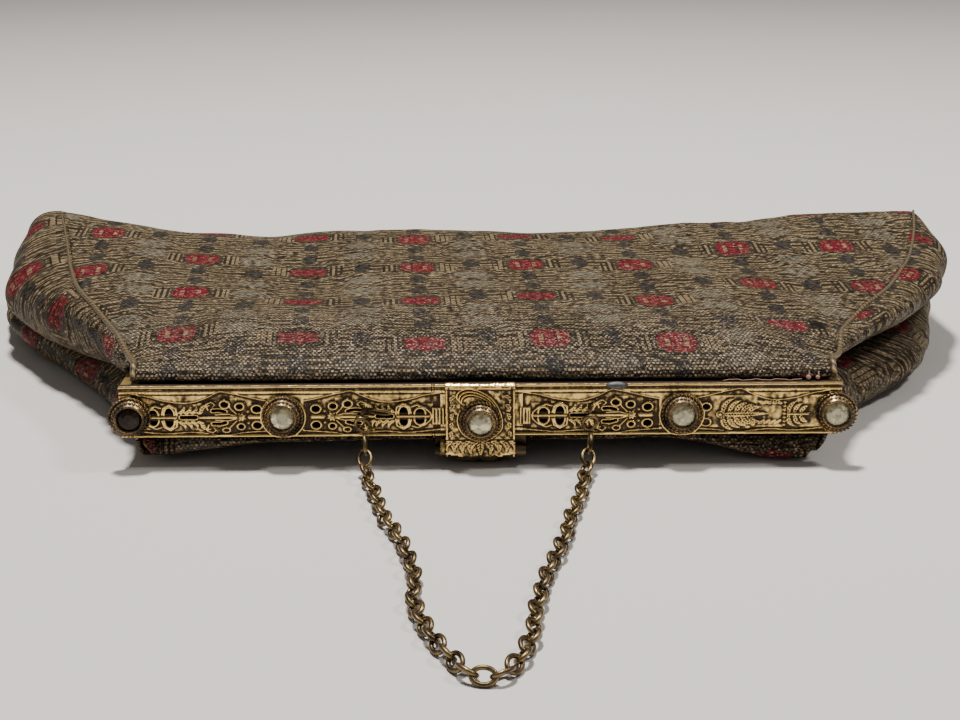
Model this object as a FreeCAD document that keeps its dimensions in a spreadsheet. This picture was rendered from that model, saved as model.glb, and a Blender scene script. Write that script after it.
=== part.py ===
import FreeCAD, Part
import math
import os

import Sketcher

# An evening clutch purse, lying on its back panel with the frame towards -Y.
# X runs along the frame, Y from the frame to the bottom of the bag, Z up.
# The origin is the middle of the back panel's rest face, on the surface below it.

doc = FreeCAD.newDocument("clutch_purse")
V = FreeCAD.Vector

# ---------------------------------------------------------------- dimensions

DIMENSIONS = {
    # the frame: two hinged channel halves and the pierced strip on the front one
    "front_y": -62.0,          # front face of the filigree strip
    "frame_width": 155.0,
    "strip_low": 6.8,          # underside of the strip above the surface
    "strip_height": 11.8,
    "strip_thick": 0.8,
    "rim_height": 1.0,
    "rim_proud": 0.5,
    "channel_depth": 4.0,
    "channel_height": 5.0,
    "channel_wall": 0.7,
    "front_channel_low": 13.3,
    "back_channel_low": 7.0,
    "back_inset": 0.9,         # the back half sits this far inside the front one
    "hinge_back": 24.0,        # hinge axis behind the strip's front face
    "hinge_height": 12.7,
    "lug_radius": 3.0,
    "arm_stop": 3.6,           # the arms' flanges end this far before the hinge axis
    "rivet_radius": 1.0,
    "rivet_head": 1.9,
    "pivot_gap": 0.05,
    "side_gap": 0.1,
    # openwork of the strip
    "slot_height": 2.2,
    "slot_width": 4.4,
    "slot_pitch": 6.2,
    # stones in their settings
    "bezel_radius": 4.3,
    "bezel_depth": 3.0,
    "stone_radius": 2.6,
    "stone_proud": 0.5,
    "bezel_height": 11.9,
    "clasp_bezel_height": 11.1,
    # flap clasp, hinged below the strip on the back half
    "clasp_width": 15.0,
    "clasp_low": 2.4,
    "clasp_top": 19.4,
    "clasp_thick": 0.8,
    "clasp_stand": 1.2,        # clear of the strip, whose lower edge swings forward
    "clasp_pin_out": 0.75,     # pin axis in front of the strip's face
    "clasp_pin_height": 3.6,
    "knuckle_radius": 1.2,
    "pin_radius": 0.5,
    "bracket_width": 19.6,
    "bracket_thick": 0.6,
    "bracket_low": 0.3,
    "bracket_top": 12.2,
    # chain and its two attachments
    "eye_left": -25.3,
    "eye_right": 23.6,
    "eye_height": 12.5,
    "eye_radius": 1.7,
    "eye_wire": 0.45,
    "ring_radius": 1.9,
    "chain_diameter": 4.1,
    # fabric
    "fabric_thick": 1.2,
    "lining_thick": 0.5,
    "lining_gap": 0.25,
    "bag_depth": 130.0,        # from the strip to the far edge
    "piping_radius": 0.9,
    "channel_cord_radius": 0.8,
}

sheet = doc.addObject("Spreadsheet::Sheet", "Dimensions")
for row, (alias, value) in enumerate(DIMENSIONS.items(), start=1):
    sheet.set(f"A{row}", alias)
    sheet.set(f"B{row}", str(value))
    sheet.setAlias(f"B{row}", alias)
doc.recompute()


def dim(alias):
    return float(getattr(sheet, alias))


def bound(obj, prop, formula):
    """Bind a property to a formula in which every name is a cell of the sheet."""
    words = "".join(c if c.isalnum() or c in "_." else " " for c in formula).split()
    for word in sorted({w for w in words if w in DIMENSIONS}, key=len, reverse=True):
        formula = formula.replace(word, f"<<Dimensions>>.{word}")
    obj.setExpression(prop, formula)


front = dim("front_y")
half = dim("frame_width") / 2
pieces = {}


def keep(obj, label):
    """Name a finished sub-part: its label is its node and its file."""
    obj.Label = label
    pieces[label] = obj
    return obj


# ---------------------------------------------------------------- sketch tools

def origin_plane(body, role):
    return next(f for f in body.Origin.OriginFeatures if f.Role == role)


def new_body(label):
    return keep(doc.addObject("PartDesign::Body", label), label)


def new_sketch(body, role, lift=None):
    """A sketch on one of the body's own origin planes, lifted along its normal by a formula."""
    sketch = body.newObject("Sketcher::SketchObject", "Sketch")
    sketch.AttachmentSupport = [(origin_plane(body, role), "")]
    sketch.MapMode = "FlatFace"
    if lift:
        bound(sketch, ".AttachmentOffset.Base.z", lift)
    return sketch


def polygon(sketch, corners):
    """A closed outline whose corner places are constraints bound to formulas."""
    values = [(value_of(x), value_of(y)) for x, y in corners]
    first = sketch.GeometryCount
    count = len(corners)
    for i, start in enumerate(values):
        end = values[(i + 1) % count]
        sketch.addGeometry(Part.LineSegment(V(*start, 0), V(*end, 0)))
    for i in range(count):
        follower = first + (i + 1) % count
        sketch.addConstraint(Sketcher.Constraint("Coincident", first + i, 2, follower, 1))
    for i, (x, y) in enumerate(corners):
        place_point(sketch, first + i, 1, x, y)


def circle(sketch, x, y, radius):
    """A circle whose centre and radius are bound to formulas."""
    centre = V(value_of(x), value_of(y), 0)
    index = sketch.addGeometry(Part.Circle(centre, V(0, 0, 1), value_of(radius)))
    place_point(sketch, index, 3, x, y)
    number = sketch.addConstraint(Sketcher.Constraint("Radius", index, value_of(radius)))
    bound(sketch, f"Constraints[{number}]", radius)


def place_point(sketch, index, which, x, y):
    for kind, formula in (("DistanceX", x), ("DistanceY", y)):
        constraint = Sketcher.Constraint(kind, -1, 1, index, which, value_of(formula))
        number = sketch.addConstraint(constraint)
        bound(sketch, f"Constraints[{number}]", formula)


def value_of(formula):
    """The number that a sheet formula gives now, for the sketch's first guess."""
    text = formula
    for word in sorted(DIMENSIONS, key=len, reverse=True):
        text = text.replace(word, repr(dim(word)))
    return float(FreeCAD.Units.Quantity(text).Value)


def pad(body, sketch, length, reverse=False, both=False):
    feature = body.newObject("PartDesign::Pad", "Pad")
    feature.Profile = sketch
    bound(feature, "Length", length)
    feature.Reversed = reverse
    feature.Midplane = both


def pocket(body, sketch, length, reverse=False, both=False):
    feature = body.newObject("PartDesign::Pocket", "Pocket")
    feature.Profile = sketch
    bound(feature, "Length", length)
    feature.Reversed = reverse
    feature.Midplane = both


def turned(body, sketch, axis="H_Axis"):
    feature = body.newObject("PartDesign::Revolution", "Revolution")
    feature.Profile = sketch
    feature.ReferenceAxis = (sketch, [axis])
    feature.Angle = 360


# ---------------------------------------------------------------- frame halves

def channel_half(label, inset, low, start, hole):
    """A U-shaped frame half: an open channel bent round three sides, with a lug at each arm's end."""
    body = new_body(label)
    outer = f"(frame_width / 2 - {inset})"
    inner = f"({outer} - channel_depth - channel_wall)"
    near = f"(front_y + {start})"
    back = f"({near} + channel_depth)"
    arm = "(front_y + hinge_back - arm_stop)"
    outline = new_sketch(body, "XY_Plane", low)
    polygon(outline, [(f"-{outer}", near), (outer, near), (outer, arm), (inner, arm),
                      (inner, back), (f"-{inner}", back), (f"-{inner}", arm), (f"-{outer}", arm)])
    pad(body, outline, "channel_height")
    groove = new_sketch(body, "XY_Plane", f"{low} + channel_wall")
    wall, deep = f"({outer} - channel_wall)", f"({near} + channel_wall)"
    past, clear = f"({arm} + 1)", f"({inner} - 1)"
    polygon(groove, [(f"-{wall}", deep), (wall, deep), (wall, past), (clear, past),
                     (clear, f"({back} + 1)"), (f"-{clear}", f"({back} + 1)"),
                     (f"-{clear}", past), (f"-{wall}", past)])
    pocket(body, groove, "channel_height - 2 * channel_wall", reverse=True)
    axis_y = "(front_y + hinge_back)"
    neck_end = f"({axis_y} - lug_radius - 3.5)"
    above = low == "front_channel_low"
    neck = ("(hinge_height + 0.4)", "(hinge_height + 2.8)") if above else (
        "(hinge_height - 2.8)", "(hinge_height - 0.4)")
    for side in ("", "-"):
        lug = new_sketch(body, "YZ_Plane", f"{side}({outer} - channel_wall / 2)")
        polygon(lug, [(neck_end, neck[0]), (axis_y, neck[0]), (axis_y, neck[1]), (neck_end, neck[1])])
        pad(body, lug, "channel_wall", both=True)
        disc = new_sketch(body, "YZ_Plane", f"{side}({outer} - channel_wall / 2)")
        circle(disc, axis_y, "hinge_height", "lug_radius")
        pad(body, disc, "channel_wall", both=True)
        bore = new_sketch(body, "YZ_Plane", f"{side}({outer} - channel_wall / 2)")
        circle(bore, axis_y, "hinge_height", hole)
        pocket(body, bore, "channel_wall * 2", both=True)


channel_half("front_channel", "0", "front_channel_low", "strip_thick", "rivet_radius + pivot_gap")
channel_half("back_channel", "back_inset", "back_channel_low",
             "(strip_thick + 0.2 + bracket_thick)", "rivet_radius")


def hinge_rivet(label, side):
    """A headed rivet through both lugs, tight in the back one."""
    body = new_body(label)
    inner = "(frame_width / 2 - back_inset - channel_wall)"
    outer = "(frame_width / 2 + side_gap)"
    profile = new_sketch(body, "XY_Plane")
    edge = [(f"({inner} - 0.8)", "0"), (f"({inner} - 0.8)", "1.6"), (inner, "1.6"),
            (inner, "rivet_radius"), (outer, "rivet_radius"), (outer, "rivet_head"),
            (f"({outer} + 0.4)", "rivet_head"), (f"({outer} + 0.9)", "1.1"),
            (f"({outer} + 0.9)", "0")]
    polygon(profile, [(f"{side}{x}" if side else x, y) for x, y in edge])
    turned(body, profile)
    bound(body, ".Placement.Base.y", "front_y + hinge_back")
    bound(body, ".Placement.Base.z", "hinge_height")


hinge_rivet("hinge_rivet_left", "-")
hinge_rivet("hinge_rivet_right", "")


# ---------------------------------------------------------------- filigree strip

def filigree_strip():
    """The pierced strip that faces forward and laps over the back half, with a raised rim along each edge."""
    body = new_body("filigree_strip")
    plate = new_sketch(body, "XZ_Plane", "-front_y")
    side, low, top = "(frame_width / 2)", "strip_low", "(strip_low + strip_height)"
    polygon(plate, [(f"-{side}", low), (side, low), (side, top), (f"-{side}", top)])
    pad(body, plate, "strip_thick", reverse=True)
    for z in (low, f"({top} - rim_height)"):
        rim = new_sketch(body, "XZ_Plane", "-front_y")
        polygon(rim, [(f"-{side}", z), (side, z), (side, f"({z} + rim_height)"),
                      (f"-{side}", f"({z} + rim_height)")])
        pad(body, rim, "rim_proud")
    openwork = new_sketch(body, "XZ_Plane", "-front_y - strip_thick - 1")
    middle = "(strip_low + strip_height / 2)"
    for section in (-58.9, -21.2, 21.7):
        for step in (-1.5, -0.5, 0.5, 1.5):
            x = f"({section} + {step} * slot_pitch)"
            polygon(openwork, [(f"({x} - slot_width / 2)", f"({middle} - slot_height / 2)"),
                               (f"({x} + slot_width / 2)", f"({middle} - slot_height / 2)"),
                               (f"({x} + slot_width / 3)", f"({middle} + slot_height / 2)"),
                               (f"({x} - slot_width / 3)", f"({middle} + slot_height / 2)")])
    pocket(body, openwork, "strip_thick + 2", reverse=True)


filigree_strip()

# ---------------------------------------------------------------- stones in their settings

SETTINGS = {"far_left": (-75.5, 0.0, "bezel_height"), "mid_left": (-42.5, 0.0, "bezel_height"),
            "mid_right": (43.4, 0.0, "bezel_height"), "far_right": (76.5, 0.0, "bezel_height"),
            "clasp": (0.0, 2.0, "clasp_bezel_height")}


def bezel(label, x, stand, height):
    """A turned cup with a beaded collar, soldered by its back to the metal behind it."""
    body = new_body(label)
    profile = new_sketch(body, "XY_Plane")
    floor = "0.6"
    polygon(profile, [("0", "0"), ("(bezel_radius - 0.8)", "0"), ("bezel_radius", "-0.9"),
                      ("bezel_radius", "-(bezel_depth - 0.7)"),
                      ("(bezel_radius - 0.8)", "-bezel_depth"),
                      ("(stone_radius + 0.1)", "-bezel_depth"),
                      ("(stone_radius + 0.1)", f"-{floor}"), ("0", f"-{floor}")])
    turned(body, profile, "V_Axis")
    set_in_front(body, x, stand, height)


def stone(label, x, stand, height):
    """A round faceted-type stone: flat table, crown and pavilion, seated in its cup."""
    body = new_body(label)
    profile = new_sketch(body, "XY_Plane")
    table, girdle, tip = "(bezel_depth + stone_proud)", "(bezel_depth - 0.7)", "0.9"
    polygon(profile, [("0", f"-{tip}"), ("stone_radius", f"-{girdle}"),
                      ("stone_radius", f"-({girdle} + 0.25)"),
                      ("(stone_radius * 0.6)", f"-{table}"), ("0", f"-{table}")])
    turned(body, profile, "V_Axis")
    set_in_front(body, x, stand, height)


def set_in_front(body, x, stand, height):
    body.Placement.Base = V(x, 0, 0)
    bound(body, ".Placement.Base.y", f"front_y - {stand}")
    bound(body, ".Placement.Base.z", height)


for place, (x, stand, height) in SETTINGS.items():
    bezel(f"bezel_{place}", x, stand, height)
    stone(f"stone_{place}", x, stand, height)

# ---------------------------------------------------------------- flap clasp


def clasp_plate():
    """The square flap with a rolled top lip and the middle knuckle on its back."""
    body = new_body("clasp_plate")
    back = "(front_y - clasp_stand)"
    flap = new_sketch(body, "XZ_Plane", f"-{back}")
    side = "(clasp_width / 2)"
    polygon(flap, [(f"-{side}", "(clasp_low + 0.9)"), ("(-clasp_width / 4)", "clasp_low"),
                   ("(clasp_width / 4)", "clasp_low"), (side, "(clasp_low + 0.9)"),
                   (side, "clasp_top"), (f"-{side}", "clasp_top")])
    pad(body, flap, "clasp_thick")
    lip = new_sketch(body, "YZ_Plane", f"-{side}")
    circle(lip, f"({back} - clasp_thick)", "(clasp_top - 0.7)", "0.7")
    pad(body, lip, "clasp_width")
    knuckle = new_sketch(body, "YZ_Plane", "-(clasp_width / 2 - 0.1)")
    circle(knuckle, "(front_y - clasp_pin_out)", "clasp_pin_height", "knuckle_radius")
    pad(body, knuckle, "clasp_width - 0.2")
    bore = new_sketch(body, "YZ_Plane", "-clasp_width")
    circle(bore, "(front_y - clasp_pin_out)", "clasp_pin_height", "pin_radius + 0.03")
    pocket(body, bore, "clasp_width * 2", reverse=True)


def clasp_bracket():
    """The round-bottomed plate soldered to the back half, with a knuckle at each side for the flap's pin."""
    body = new_body("clasp_bracket")
    face = "(front_y + strip_thick + 0.2)"
    plate = new_sketch(body, "XZ_Plane", f"-{face}")
    side, foot = "(bracket_width / 2)", "bracket_low"
    polygon(plate, [(f"-{side}", "bracket_top"), (f"-{side}", "(bracket_low + 3.4)"),
                    ("(-bracket_width * 0.36)", "(bracket_low + 1.0)"),
                    ("(-bracket_width * 0.16)", foot), ("(bracket_width * 0.16)", foot),
                    ("(bracket_width * 0.36)", "(bracket_low + 1.0)"),
                    (side, "(bracket_low + 3.4)"), (side, "bracket_top")])
    pad(body, plate, "bracket_thick", reverse=True)
    for start in ("(clasp_width / 2 + 0.1)", "(-bracket_width / 2)"):
        knuckle = new_sketch(body, "YZ_Plane", start)
        circle(knuckle, "(front_y - clasp_pin_out)", "clasp_pin_height", "knuckle_radius")
        pad(body, knuckle, "bracket_width / 2 - clasp_width / 2 - 0.1")
        leaf = new_sketch(body, "YZ_Plane", start)
        polygon(leaf, [("(front_y - clasp_pin_out)", "(clasp_pin_height - 0.9)"),
                       (f"({face} + 0.1)", "(clasp_pin_height - 0.9)"),
                       (f"({face} + 0.1)", "(clasp_pin_height + 0.9)"),
                       ("(front_y - clasp_pin_out)", "(clasp_pin_height + 0.9)")])
        pad(body, leaf, "bracket_width / 2 - clasp_width / 2 - 0.1")
    bore = new_sketch(body, "YZ_Plane", "-bracket_width")
    circle(bore, "(front_y - clasp_pin_out)", "clasp_pin_height", "pin_radius")
    pocket(body, bore, "bracket_width * 2", reverse=True)


clasp_plate()
clasp_bracket()

pin = keep(doc.addObject("Part::Cylinder", "clasp_hinge_pin"), "clasp_hinge_pin")
bound(pin, "Radius", "pin_radius")
bound(pin, "Height", "bracket_width")
pin.Placement = FreeCAD.Placement(V(0, 0, 0), FreeCAD.Rotation(V(0, 1, 0), 90))
bound(pin, ".Placement.Base.x", "-bracket_width / 2")
bound(pin, ".Placement.Base.y", "front_y - clasp_pin_out")
bound(pin, ".Placement.Base.z", "clasp_pin_height")

# ---------------------------------------------------------------- routes and tubes


def rounded_path(points, report=None):
    """Straight runs joined by tangent arcs, each as large as 0.45 of its shorter run allows."""
    corners = [V(*p) for p in points]
    edges, radii, here = [], [], corners[0]
    for before, corner, after in zip(corners, corners[1:], corners[2:]):
        arrive, leave = corner - before, after - corner
        turn = arrive.getAngle(leave)
        reach = 0.45 * min(arrive.Length, leave.Length)
        radii.append(reach / math.tan(turn / 2))
        arrive.normalize()
        leave.normalize()
        start, end = corner - arrive * reach, corner + leave * reach
        spread = leave - arrive
        spread.normalize()
        centre_gap = radii[-1] / math.cos(turn / 2)
        middle = corner + spread * (centre_gap - radii[-1])
        edges.append(Part.LineSegment(here, start).toShape())
        edges.append(Part.Arc(start, middle, end).toShape())
        here = end
    edges.append(Part.LineSegment(here, corners[-1]).toShape())
    path = Part.Wire(edges)
    if report:
        print(report, "length", round(path.Length, 1), "radii", [round(r, 1) for r in radii])
    return path


def tube(points, radius, report=None):
    """A round solid along a route, checked against its section times its length."""
    path = rounded_path(points, report)
    start, towards = V(*points[0]), V(*points[1]) - V(*points[0])
    ring = Part.Wire(Part.Circle(start, towards, radius).toShape())
    solid = path.makePipeShell([ring], True, True)
    expected = math.pi * radius ** 2 * path.Length
    if abs(solid.Volume / expected - 1) > 0.02:
        raise ValueError(f"a tube's volume is {solid.Volume:.1f}, not {expected:.1f}")
    return solid


def shape_piece(label, shape):
    """A sub-part that no primitive or sketched feature describes, set from its own shape."""
    obj = doc.addObject("Part::Feature", label)
    obj.Shape = shape
    obj.Placement = FreeCAD.Placement(V(0, 0, 0), FreeCAD.Rotation())
    return keep(obj, label)


# ---------------------------------------------------------------- chain and its eyes

for side in ("left", "right"):
    # a staple soldered to the strip's face, open towards it, and the ring that hangs in it
    eye = keep(doc.addObject("Part::Torus", f"chain_eye_{side}"), f"chain_eye_{side}")
    bound(eye, "Radius1", "eye_radius")
    bound(eye, "Radius2", "eye_wire")
    eye.Angle3 = 180
    eye.Placement.Rotation = FreeCAD.Rotation(V(0, 0, 1), V(0, -1, 0), V(1, 0, 0), "XYZ")
    bound(eye, ".Placement.Base.x", f"eye_{side}")
    bound(eye, ".Placement.Base.y", "front_y")
    bound(eye, ".Placement.Base.z", "eye_height")
    ring = keep(doc.addObject("Part::Torus", f"chain_ring_{side}"), f"chain_ring_{side}")
    bound(ring, "Radius1", "ring_radius")
    bound(ring, "Radius2", "eye_wire")
    ring.Placement.Rotation = FreeCAD.Rotation(V(1, 0, 0), 90)
    bound(ring, ".Placement.Base.x", f"eye_{side}")
    bound(ring, ".Placement.Base.y", "front_y - eye_wire - 0.05")
    bound(ring, ".Placement.Base.z", "eye_height - 0.4 - ring_radius")

# The chain's middle line from the left ring, down to the surface and back up to the right ring.
CHAIN_ROUTE = [
    (-25.0, -65.0, 7.6), (-24.7, -67.2, 5.4), (-24.2, -71.0, 3.3), (-23.2, -76.4, 2.5),
    (-21.3, -83.6, 2.4), (-19.8, -91.4, 2.4), (-16.4, -101.6, 2.4), (-13.6, -111.2, 2.4),
    (-12.0, -120.6, 2.4), (-12.4, -128.8, 2.4), (-10.0, -138.4, 2.4), (-6.4, -147.0, 2.4),
    (-1.8, -155.6, 2.4), (3.8, -155.2, 2.4), (7.4, -147.6, 2.4), (9.2, -138.2, 2.4),
    (9.9, -128.6, 2.4), (12.2, -118.0, 2.4), (15.6, -106.4, 2.4), (17.2, -96.4, 2.4),
    (20.0, -84.4, 2.4), (21.4, -76.4, 2.5), (22.6, -70.8, 3.3), (23.1, -67.0, 5.4),
    (23.4, -65.0, 7.6),
]
shape_piece("chain", tube(CHAIN_ROUTE, dim("chain_diameter") / 2, "chain"))

# ---------------------------------------------------------------- the bag's shape

# Side view of the bag: how high the front panel stands at each distance behind the strip.
FRONT_LINE = [(2.6, 16.95), (5.2, 17.0), (7.4, 19.8), (10.5, 24.2), (17.0, 26.9), (33.0, 28.2),
              (55.0, 28.2), (82.0, 26.8), (106.0, 24.6), (120.0, 21.6), (127.2, 17.4), (129.4, 12.6)]
# The back panel leaves its channel, rolls under it and lies on the surface.
BACK_ROLL = [(3.4, 10.4), (6.2, 10.4), (8.8, 9.5), (9.7, 7.4), (8.2, 5.5), (4.9, 4.6),
             (3.4, 3.0), (4.9, 1.2), (8.0, 0.6)]
BACK_RISE = [(116.0, 0.6), (124.0, 2.4), (128.8, 7.0), (129.4, 11.8)]
# Plan of the side seams: half the panel's width at each distance behind the strip.
SEAM_LINE = [(22.0, 79.4), (42.0, 92.6), (68.0, 104.6), (92.0, 112.0), (118.0, 117.6), (131.0, 118.6)]


def seam_half_width(distance):
    for (d0, w0), (d1, w1) in zip(SEAM_LINE, SEAM_LINE[1:]):
        if distance <= d1:
            return w0 + (w1 - w0) * max(distance - d0, 0) / (d1 - d0)
    return SEAM_LINE[-1][1]


def top_height(distance):
    for (d0, z0), (d1, z1) in zip(FRONT_LINE, FRONT_LINE[1:]):
        if d0 <= distance <= d1:
            return z0 + (z1 - z0) * (distance - d0) / (d1 - d0)
    return FRONT_LINE[-1][1]


def shifted(points, offset):
    """The points of a line moved sideways by an offset, to its left as it runs."""
    moved = []
    for i, (a, b) in enumerate(points):
        a0, b0 = points[max(i - 1, 0)]
        a1, b1 = points[min(i + 1, len(points) - 1)]
        length = math.hypot(a1 - a0, b1 - b0)
        moved.append((a - (b1 - b0) / length * offset, b + (a1 - a0) / length * offset))
    return moved


def side_edge(points):
    """A smooth edge through points of the side view, in the YZ plane."""
    curve = Part.BSplineCurve()
    curve.interpolate([V(0, front + d, z) for d, z in points])
    return curve.toShape()


def sheet_band(parts_of_line, offset, thick):
    """The side view of a sheet: its middle lines shifted by an offset and given a thickness."""
    whole = [point for part in parts_of_line for point in part]
    faces = []
    for side in (thick / 2, -thick / 2):
        moved, runs = iter(shifted(whole, offset + side)), []
        for part in parts_of_line:
            runs.append([next(moved) for _ in part])
        faces.append(runs)
    loop = [side_edge(run) for runs in faces for run in runs]
    for runs in faces:
        loop += [line_between(left[-1], right[0]) for left, right in zip(runs, runs[1:])]
    outer, inner = faces
    loop += [line_between(outer[0][0], inner[0][0]), line_between(outer[-1][-1], inner[-1][-1])]
    return Part.Face(Part.Wire(Part.__sortEdges__(loop)))


def line_between(start, end):
    return Part.LineSegment(*[V(0, front + d, z) for d, z in (start, end)]).toShape()


def plan_prism(clear_of_arms, inset):
    """Everything between the side seams, as a tall block with the panel's plan."""
    near = [(clear_of_arms, 0.0), (clear_of_arms, 21.0)]
    sides = near + [(w, d) for d, w in SEAM_LINE if d > 21.0]
    right = [(w - inset, d) for w, d in sides]
    outline = right + [(-w, d) for w, d in reversed(right)]
    corners = [V(x, front + d, -1) for x, d in outline]
    return Part.Face(Part.makePolygon(corners + corners[:1])).extrude(V(0, 0, 40))


def panel(label, lines, offset, thick, clear_of_arms, inset):
    face = sheet_band(lines, offset, thick)
    slab = face.translated(V(-150, 0, 0)).extrude(V(300, 0, 0))
    return shape_piece(label, slab.common(plan_prism(clear_of_arms, inset)).Solids[0])


fabric, lining_thick = dim("fabric_thick"), dim("lining_thick")
inside = fabric / 2 + dim("lining_gap") + lining_thick / 2
between_arms = half - dim("channel_depth") - dim("channel_wall") - dim("back_inset") - 0.3
panel("front_panel", [FRONT_LINE], 0, fabric, between_arms, 0.0)
panel("back_panel", [BACK_ROLL, BACK_RISE], 0, fabric, between_arms, 0.0)
panel("front_lining", [FRONT_LINE[3:-1]], -inside, lining_thick, between_arms, 1.0)
panel("back_lining", [[(13.0, 0.6), (60.0, 0.6), (112.0, 0.6)]], inside, lining_thick, between_arms, 1.0)

# ---------------------------------------------------------------- gussets

# Each station: distance behind the strip, how far the upper and the lower roll stand out,
# and the heights of the top seam, the inward fold and the bottom seam.
GUSSET_STATIONS = [(26.0, 3.0, 6.0, 25.4, 14.0, 1.6), (42.0, 7.0, 8.5, 26.0, 14.0, 0.3),
                   (68.0, 12.5, 12.0, 25.4, 13.6, 0.2), (92.0, 16.5, 15.5, 24.2, 13.0, 0.2),
                   (118.0, 13.5, 14.0, 20.4, 11.8, 0.8), (129.0, 5.0, 5.0, 15.6, 10.8, 6.0)]
SEAM_CLEAR = 0.3


def gusset_section(station, side):
    """Two outward rolls with an inward fold between them, as a closed outline across the bag."""
    distance, upper, lower, top, fold, bottom = station
    seam = seam_half_width(distance) + SEAM_CLEAR
    rolls = [(upper, (top + fold) / 2, (top - fold) / 2), (lower, (fold + bottom) / 2, (fold - bottom) / 2)]
    outer, inner = [], []
    for roll, (reach, middle, half_height) in enumerate(rolls):
        for step in range(7):
            angle = math.radians(30 * step)
            if not (roll == 1 and step == 0):
                outer.append((reach * math.sin(angle), middle + half_height * math.cos(angle)))
            at_fold = (roll == 0 and step == 6) or (roll == 1 and step == 0)
            if not at_fold:
                inner.append(((reach - fabric) * math.sin(angle),
                              middle + (half_height - fabric) * math.cos(angle)))
            elif roll == 0:
                inner.append((-fabric, fold))
    outline = outer + inner[::-1]
    corners = [V(side * (seam + x), front + distance, z) for x, z in outline]
    return Part.makePolygon(corners + corners[:1])


for name, side in (("left", -1), ("right", 1)):
    sections = [gusset_section(station, side) for station in GUSSET_STATIONS]
    shape_piece(f"gusset_{name}", Part.makeLoft(sections, True, True))

# ---------------------------------------------------------------- piping and channel cords

piping = dim("piping_radius")
PIPING_STOPS = (27.0, 46.0, 68.0, 92.0, 112.0)
for name, side in (("left", -1), ("right", 1)):
    top_route = [(side * (seam_half_width(d) + 0.6), front + d, top_height(d) + fabric / 2 + piping + 0.4)
                 for d in PIPING_STOPS]
    shape_piece(f"front_piping_{name}", tube(top_route, piping))

for half_name, height, start in (("front", dim("front_channel_low"), dim("strip_thick")),
                                 ("back", dim("back_channel_low"),
                                  dim("strip_thick") + 0.2 + dim("bracket_thick"))):
    cord = keep(doc.addObject("Part::Cylinder", f"{half_name}_channel_cord"), f"{half_name}_channel_cord")
    bound(cord, "Radius", "channel_cord_radius")
    bound(cord, "Height", "frame_width - 14")
    cord.Placement = FreeCAD.Placement(V(0, 0, 0), FreeCAD.Rotation(V(0, 1, 0), 90))
    bound(cord, ".Placement.Base.x", "7 - frame_width / 2")
    cord.Placement.Base.y = front + start + dim("channel_wall") + 0.9
    cord.Placement.Base.z = height + dim("channel_wall") + 0.85

# ---------------------------------------------------------------- check and write

doc.recompute()
for obj in doc.Objects:
    if "Invalid" in obj.State or "Error" in obj.State:
        raise RuntimeError(f"{obj.Name} ({obj.Label}) failed: {obj.State}")
os.makedirs("parts", exist_ok=True)
for label, obj in pieces.items():
    shape = obj.Shape
    if shape.isNull() or not shape.isValid() or not shape.Solids:
        raise RuntimeError(f"{label} has no valid solid")
    shape.exportStep(f"parts/{label}.step")
print(len(pieces), "pieces written")
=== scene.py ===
import math

import bpy
import numpy as np
from mathutils import Matrix, Vector


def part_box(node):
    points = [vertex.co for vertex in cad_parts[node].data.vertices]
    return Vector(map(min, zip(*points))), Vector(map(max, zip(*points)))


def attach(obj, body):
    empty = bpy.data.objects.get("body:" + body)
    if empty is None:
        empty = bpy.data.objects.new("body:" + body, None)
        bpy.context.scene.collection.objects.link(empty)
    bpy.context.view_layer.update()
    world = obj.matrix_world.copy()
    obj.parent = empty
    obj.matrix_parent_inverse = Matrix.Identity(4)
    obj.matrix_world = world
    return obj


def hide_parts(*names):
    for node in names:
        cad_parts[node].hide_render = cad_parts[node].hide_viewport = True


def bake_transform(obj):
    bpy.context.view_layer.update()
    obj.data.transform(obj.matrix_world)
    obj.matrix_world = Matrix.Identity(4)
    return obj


# An evening clutch purse on its back. Lengths are millimetres until a mesh is made.
# "Behind" means the distance behind the front face of the filigree strip, along +Y.

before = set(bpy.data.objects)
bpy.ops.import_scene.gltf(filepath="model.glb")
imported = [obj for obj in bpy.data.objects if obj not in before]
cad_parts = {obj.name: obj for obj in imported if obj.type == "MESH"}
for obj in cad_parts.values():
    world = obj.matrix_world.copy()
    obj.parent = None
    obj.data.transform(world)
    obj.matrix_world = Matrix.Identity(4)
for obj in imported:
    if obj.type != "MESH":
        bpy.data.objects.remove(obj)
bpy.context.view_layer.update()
MM = 0.001
random = np.random.default_rng(12)

RIM_PROUD = 0.5
strip_low, strip_high = [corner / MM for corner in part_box("filigree_strip")]
FRONT = strip_low.y + RIM_PROUD
HALF_WIDTH = strip_high.x


def centre_of(node):
    low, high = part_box(node)
    return (low + high) / 2 / MM


# ---------------------------------------------------------------- small tools

def smooth_line(stops, values, at):
    """A smooth curve through a few stops: Catmull-Rom slopes, cubic between them."""
    stops, values, at = (np.asarray(a, float) for a in (stops, values, at))
    slopes = np.gradient(values, stops, axis=0)
    place = np.clip(np.searchsorted(stops, at) - 1, 0, len(stops) - 2)
    width = stops[place + 1] - stops[place]
    t = np.clip((at - stops[place]) / width, 0, 1)
    a, b = values[place], values[place + 1]
    sa, sb = slopes[place] * width, slopes[place + 1] * width
    return ((2 * t ** 3 - 3 * t ** 2 + 1) * a + (t ** 3 - 2 * t ** 2 + t) * sa
            + (3 * t ** 2 - 2 * t ** 3) * b + (t ** 3 - t ** 2) * sb)


def ease(low, high, value):
    t = np.clip((np.asarray(value, float) - low) / (high - low), 0, 1)
    return t * t * (3 - 2 * t)


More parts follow.
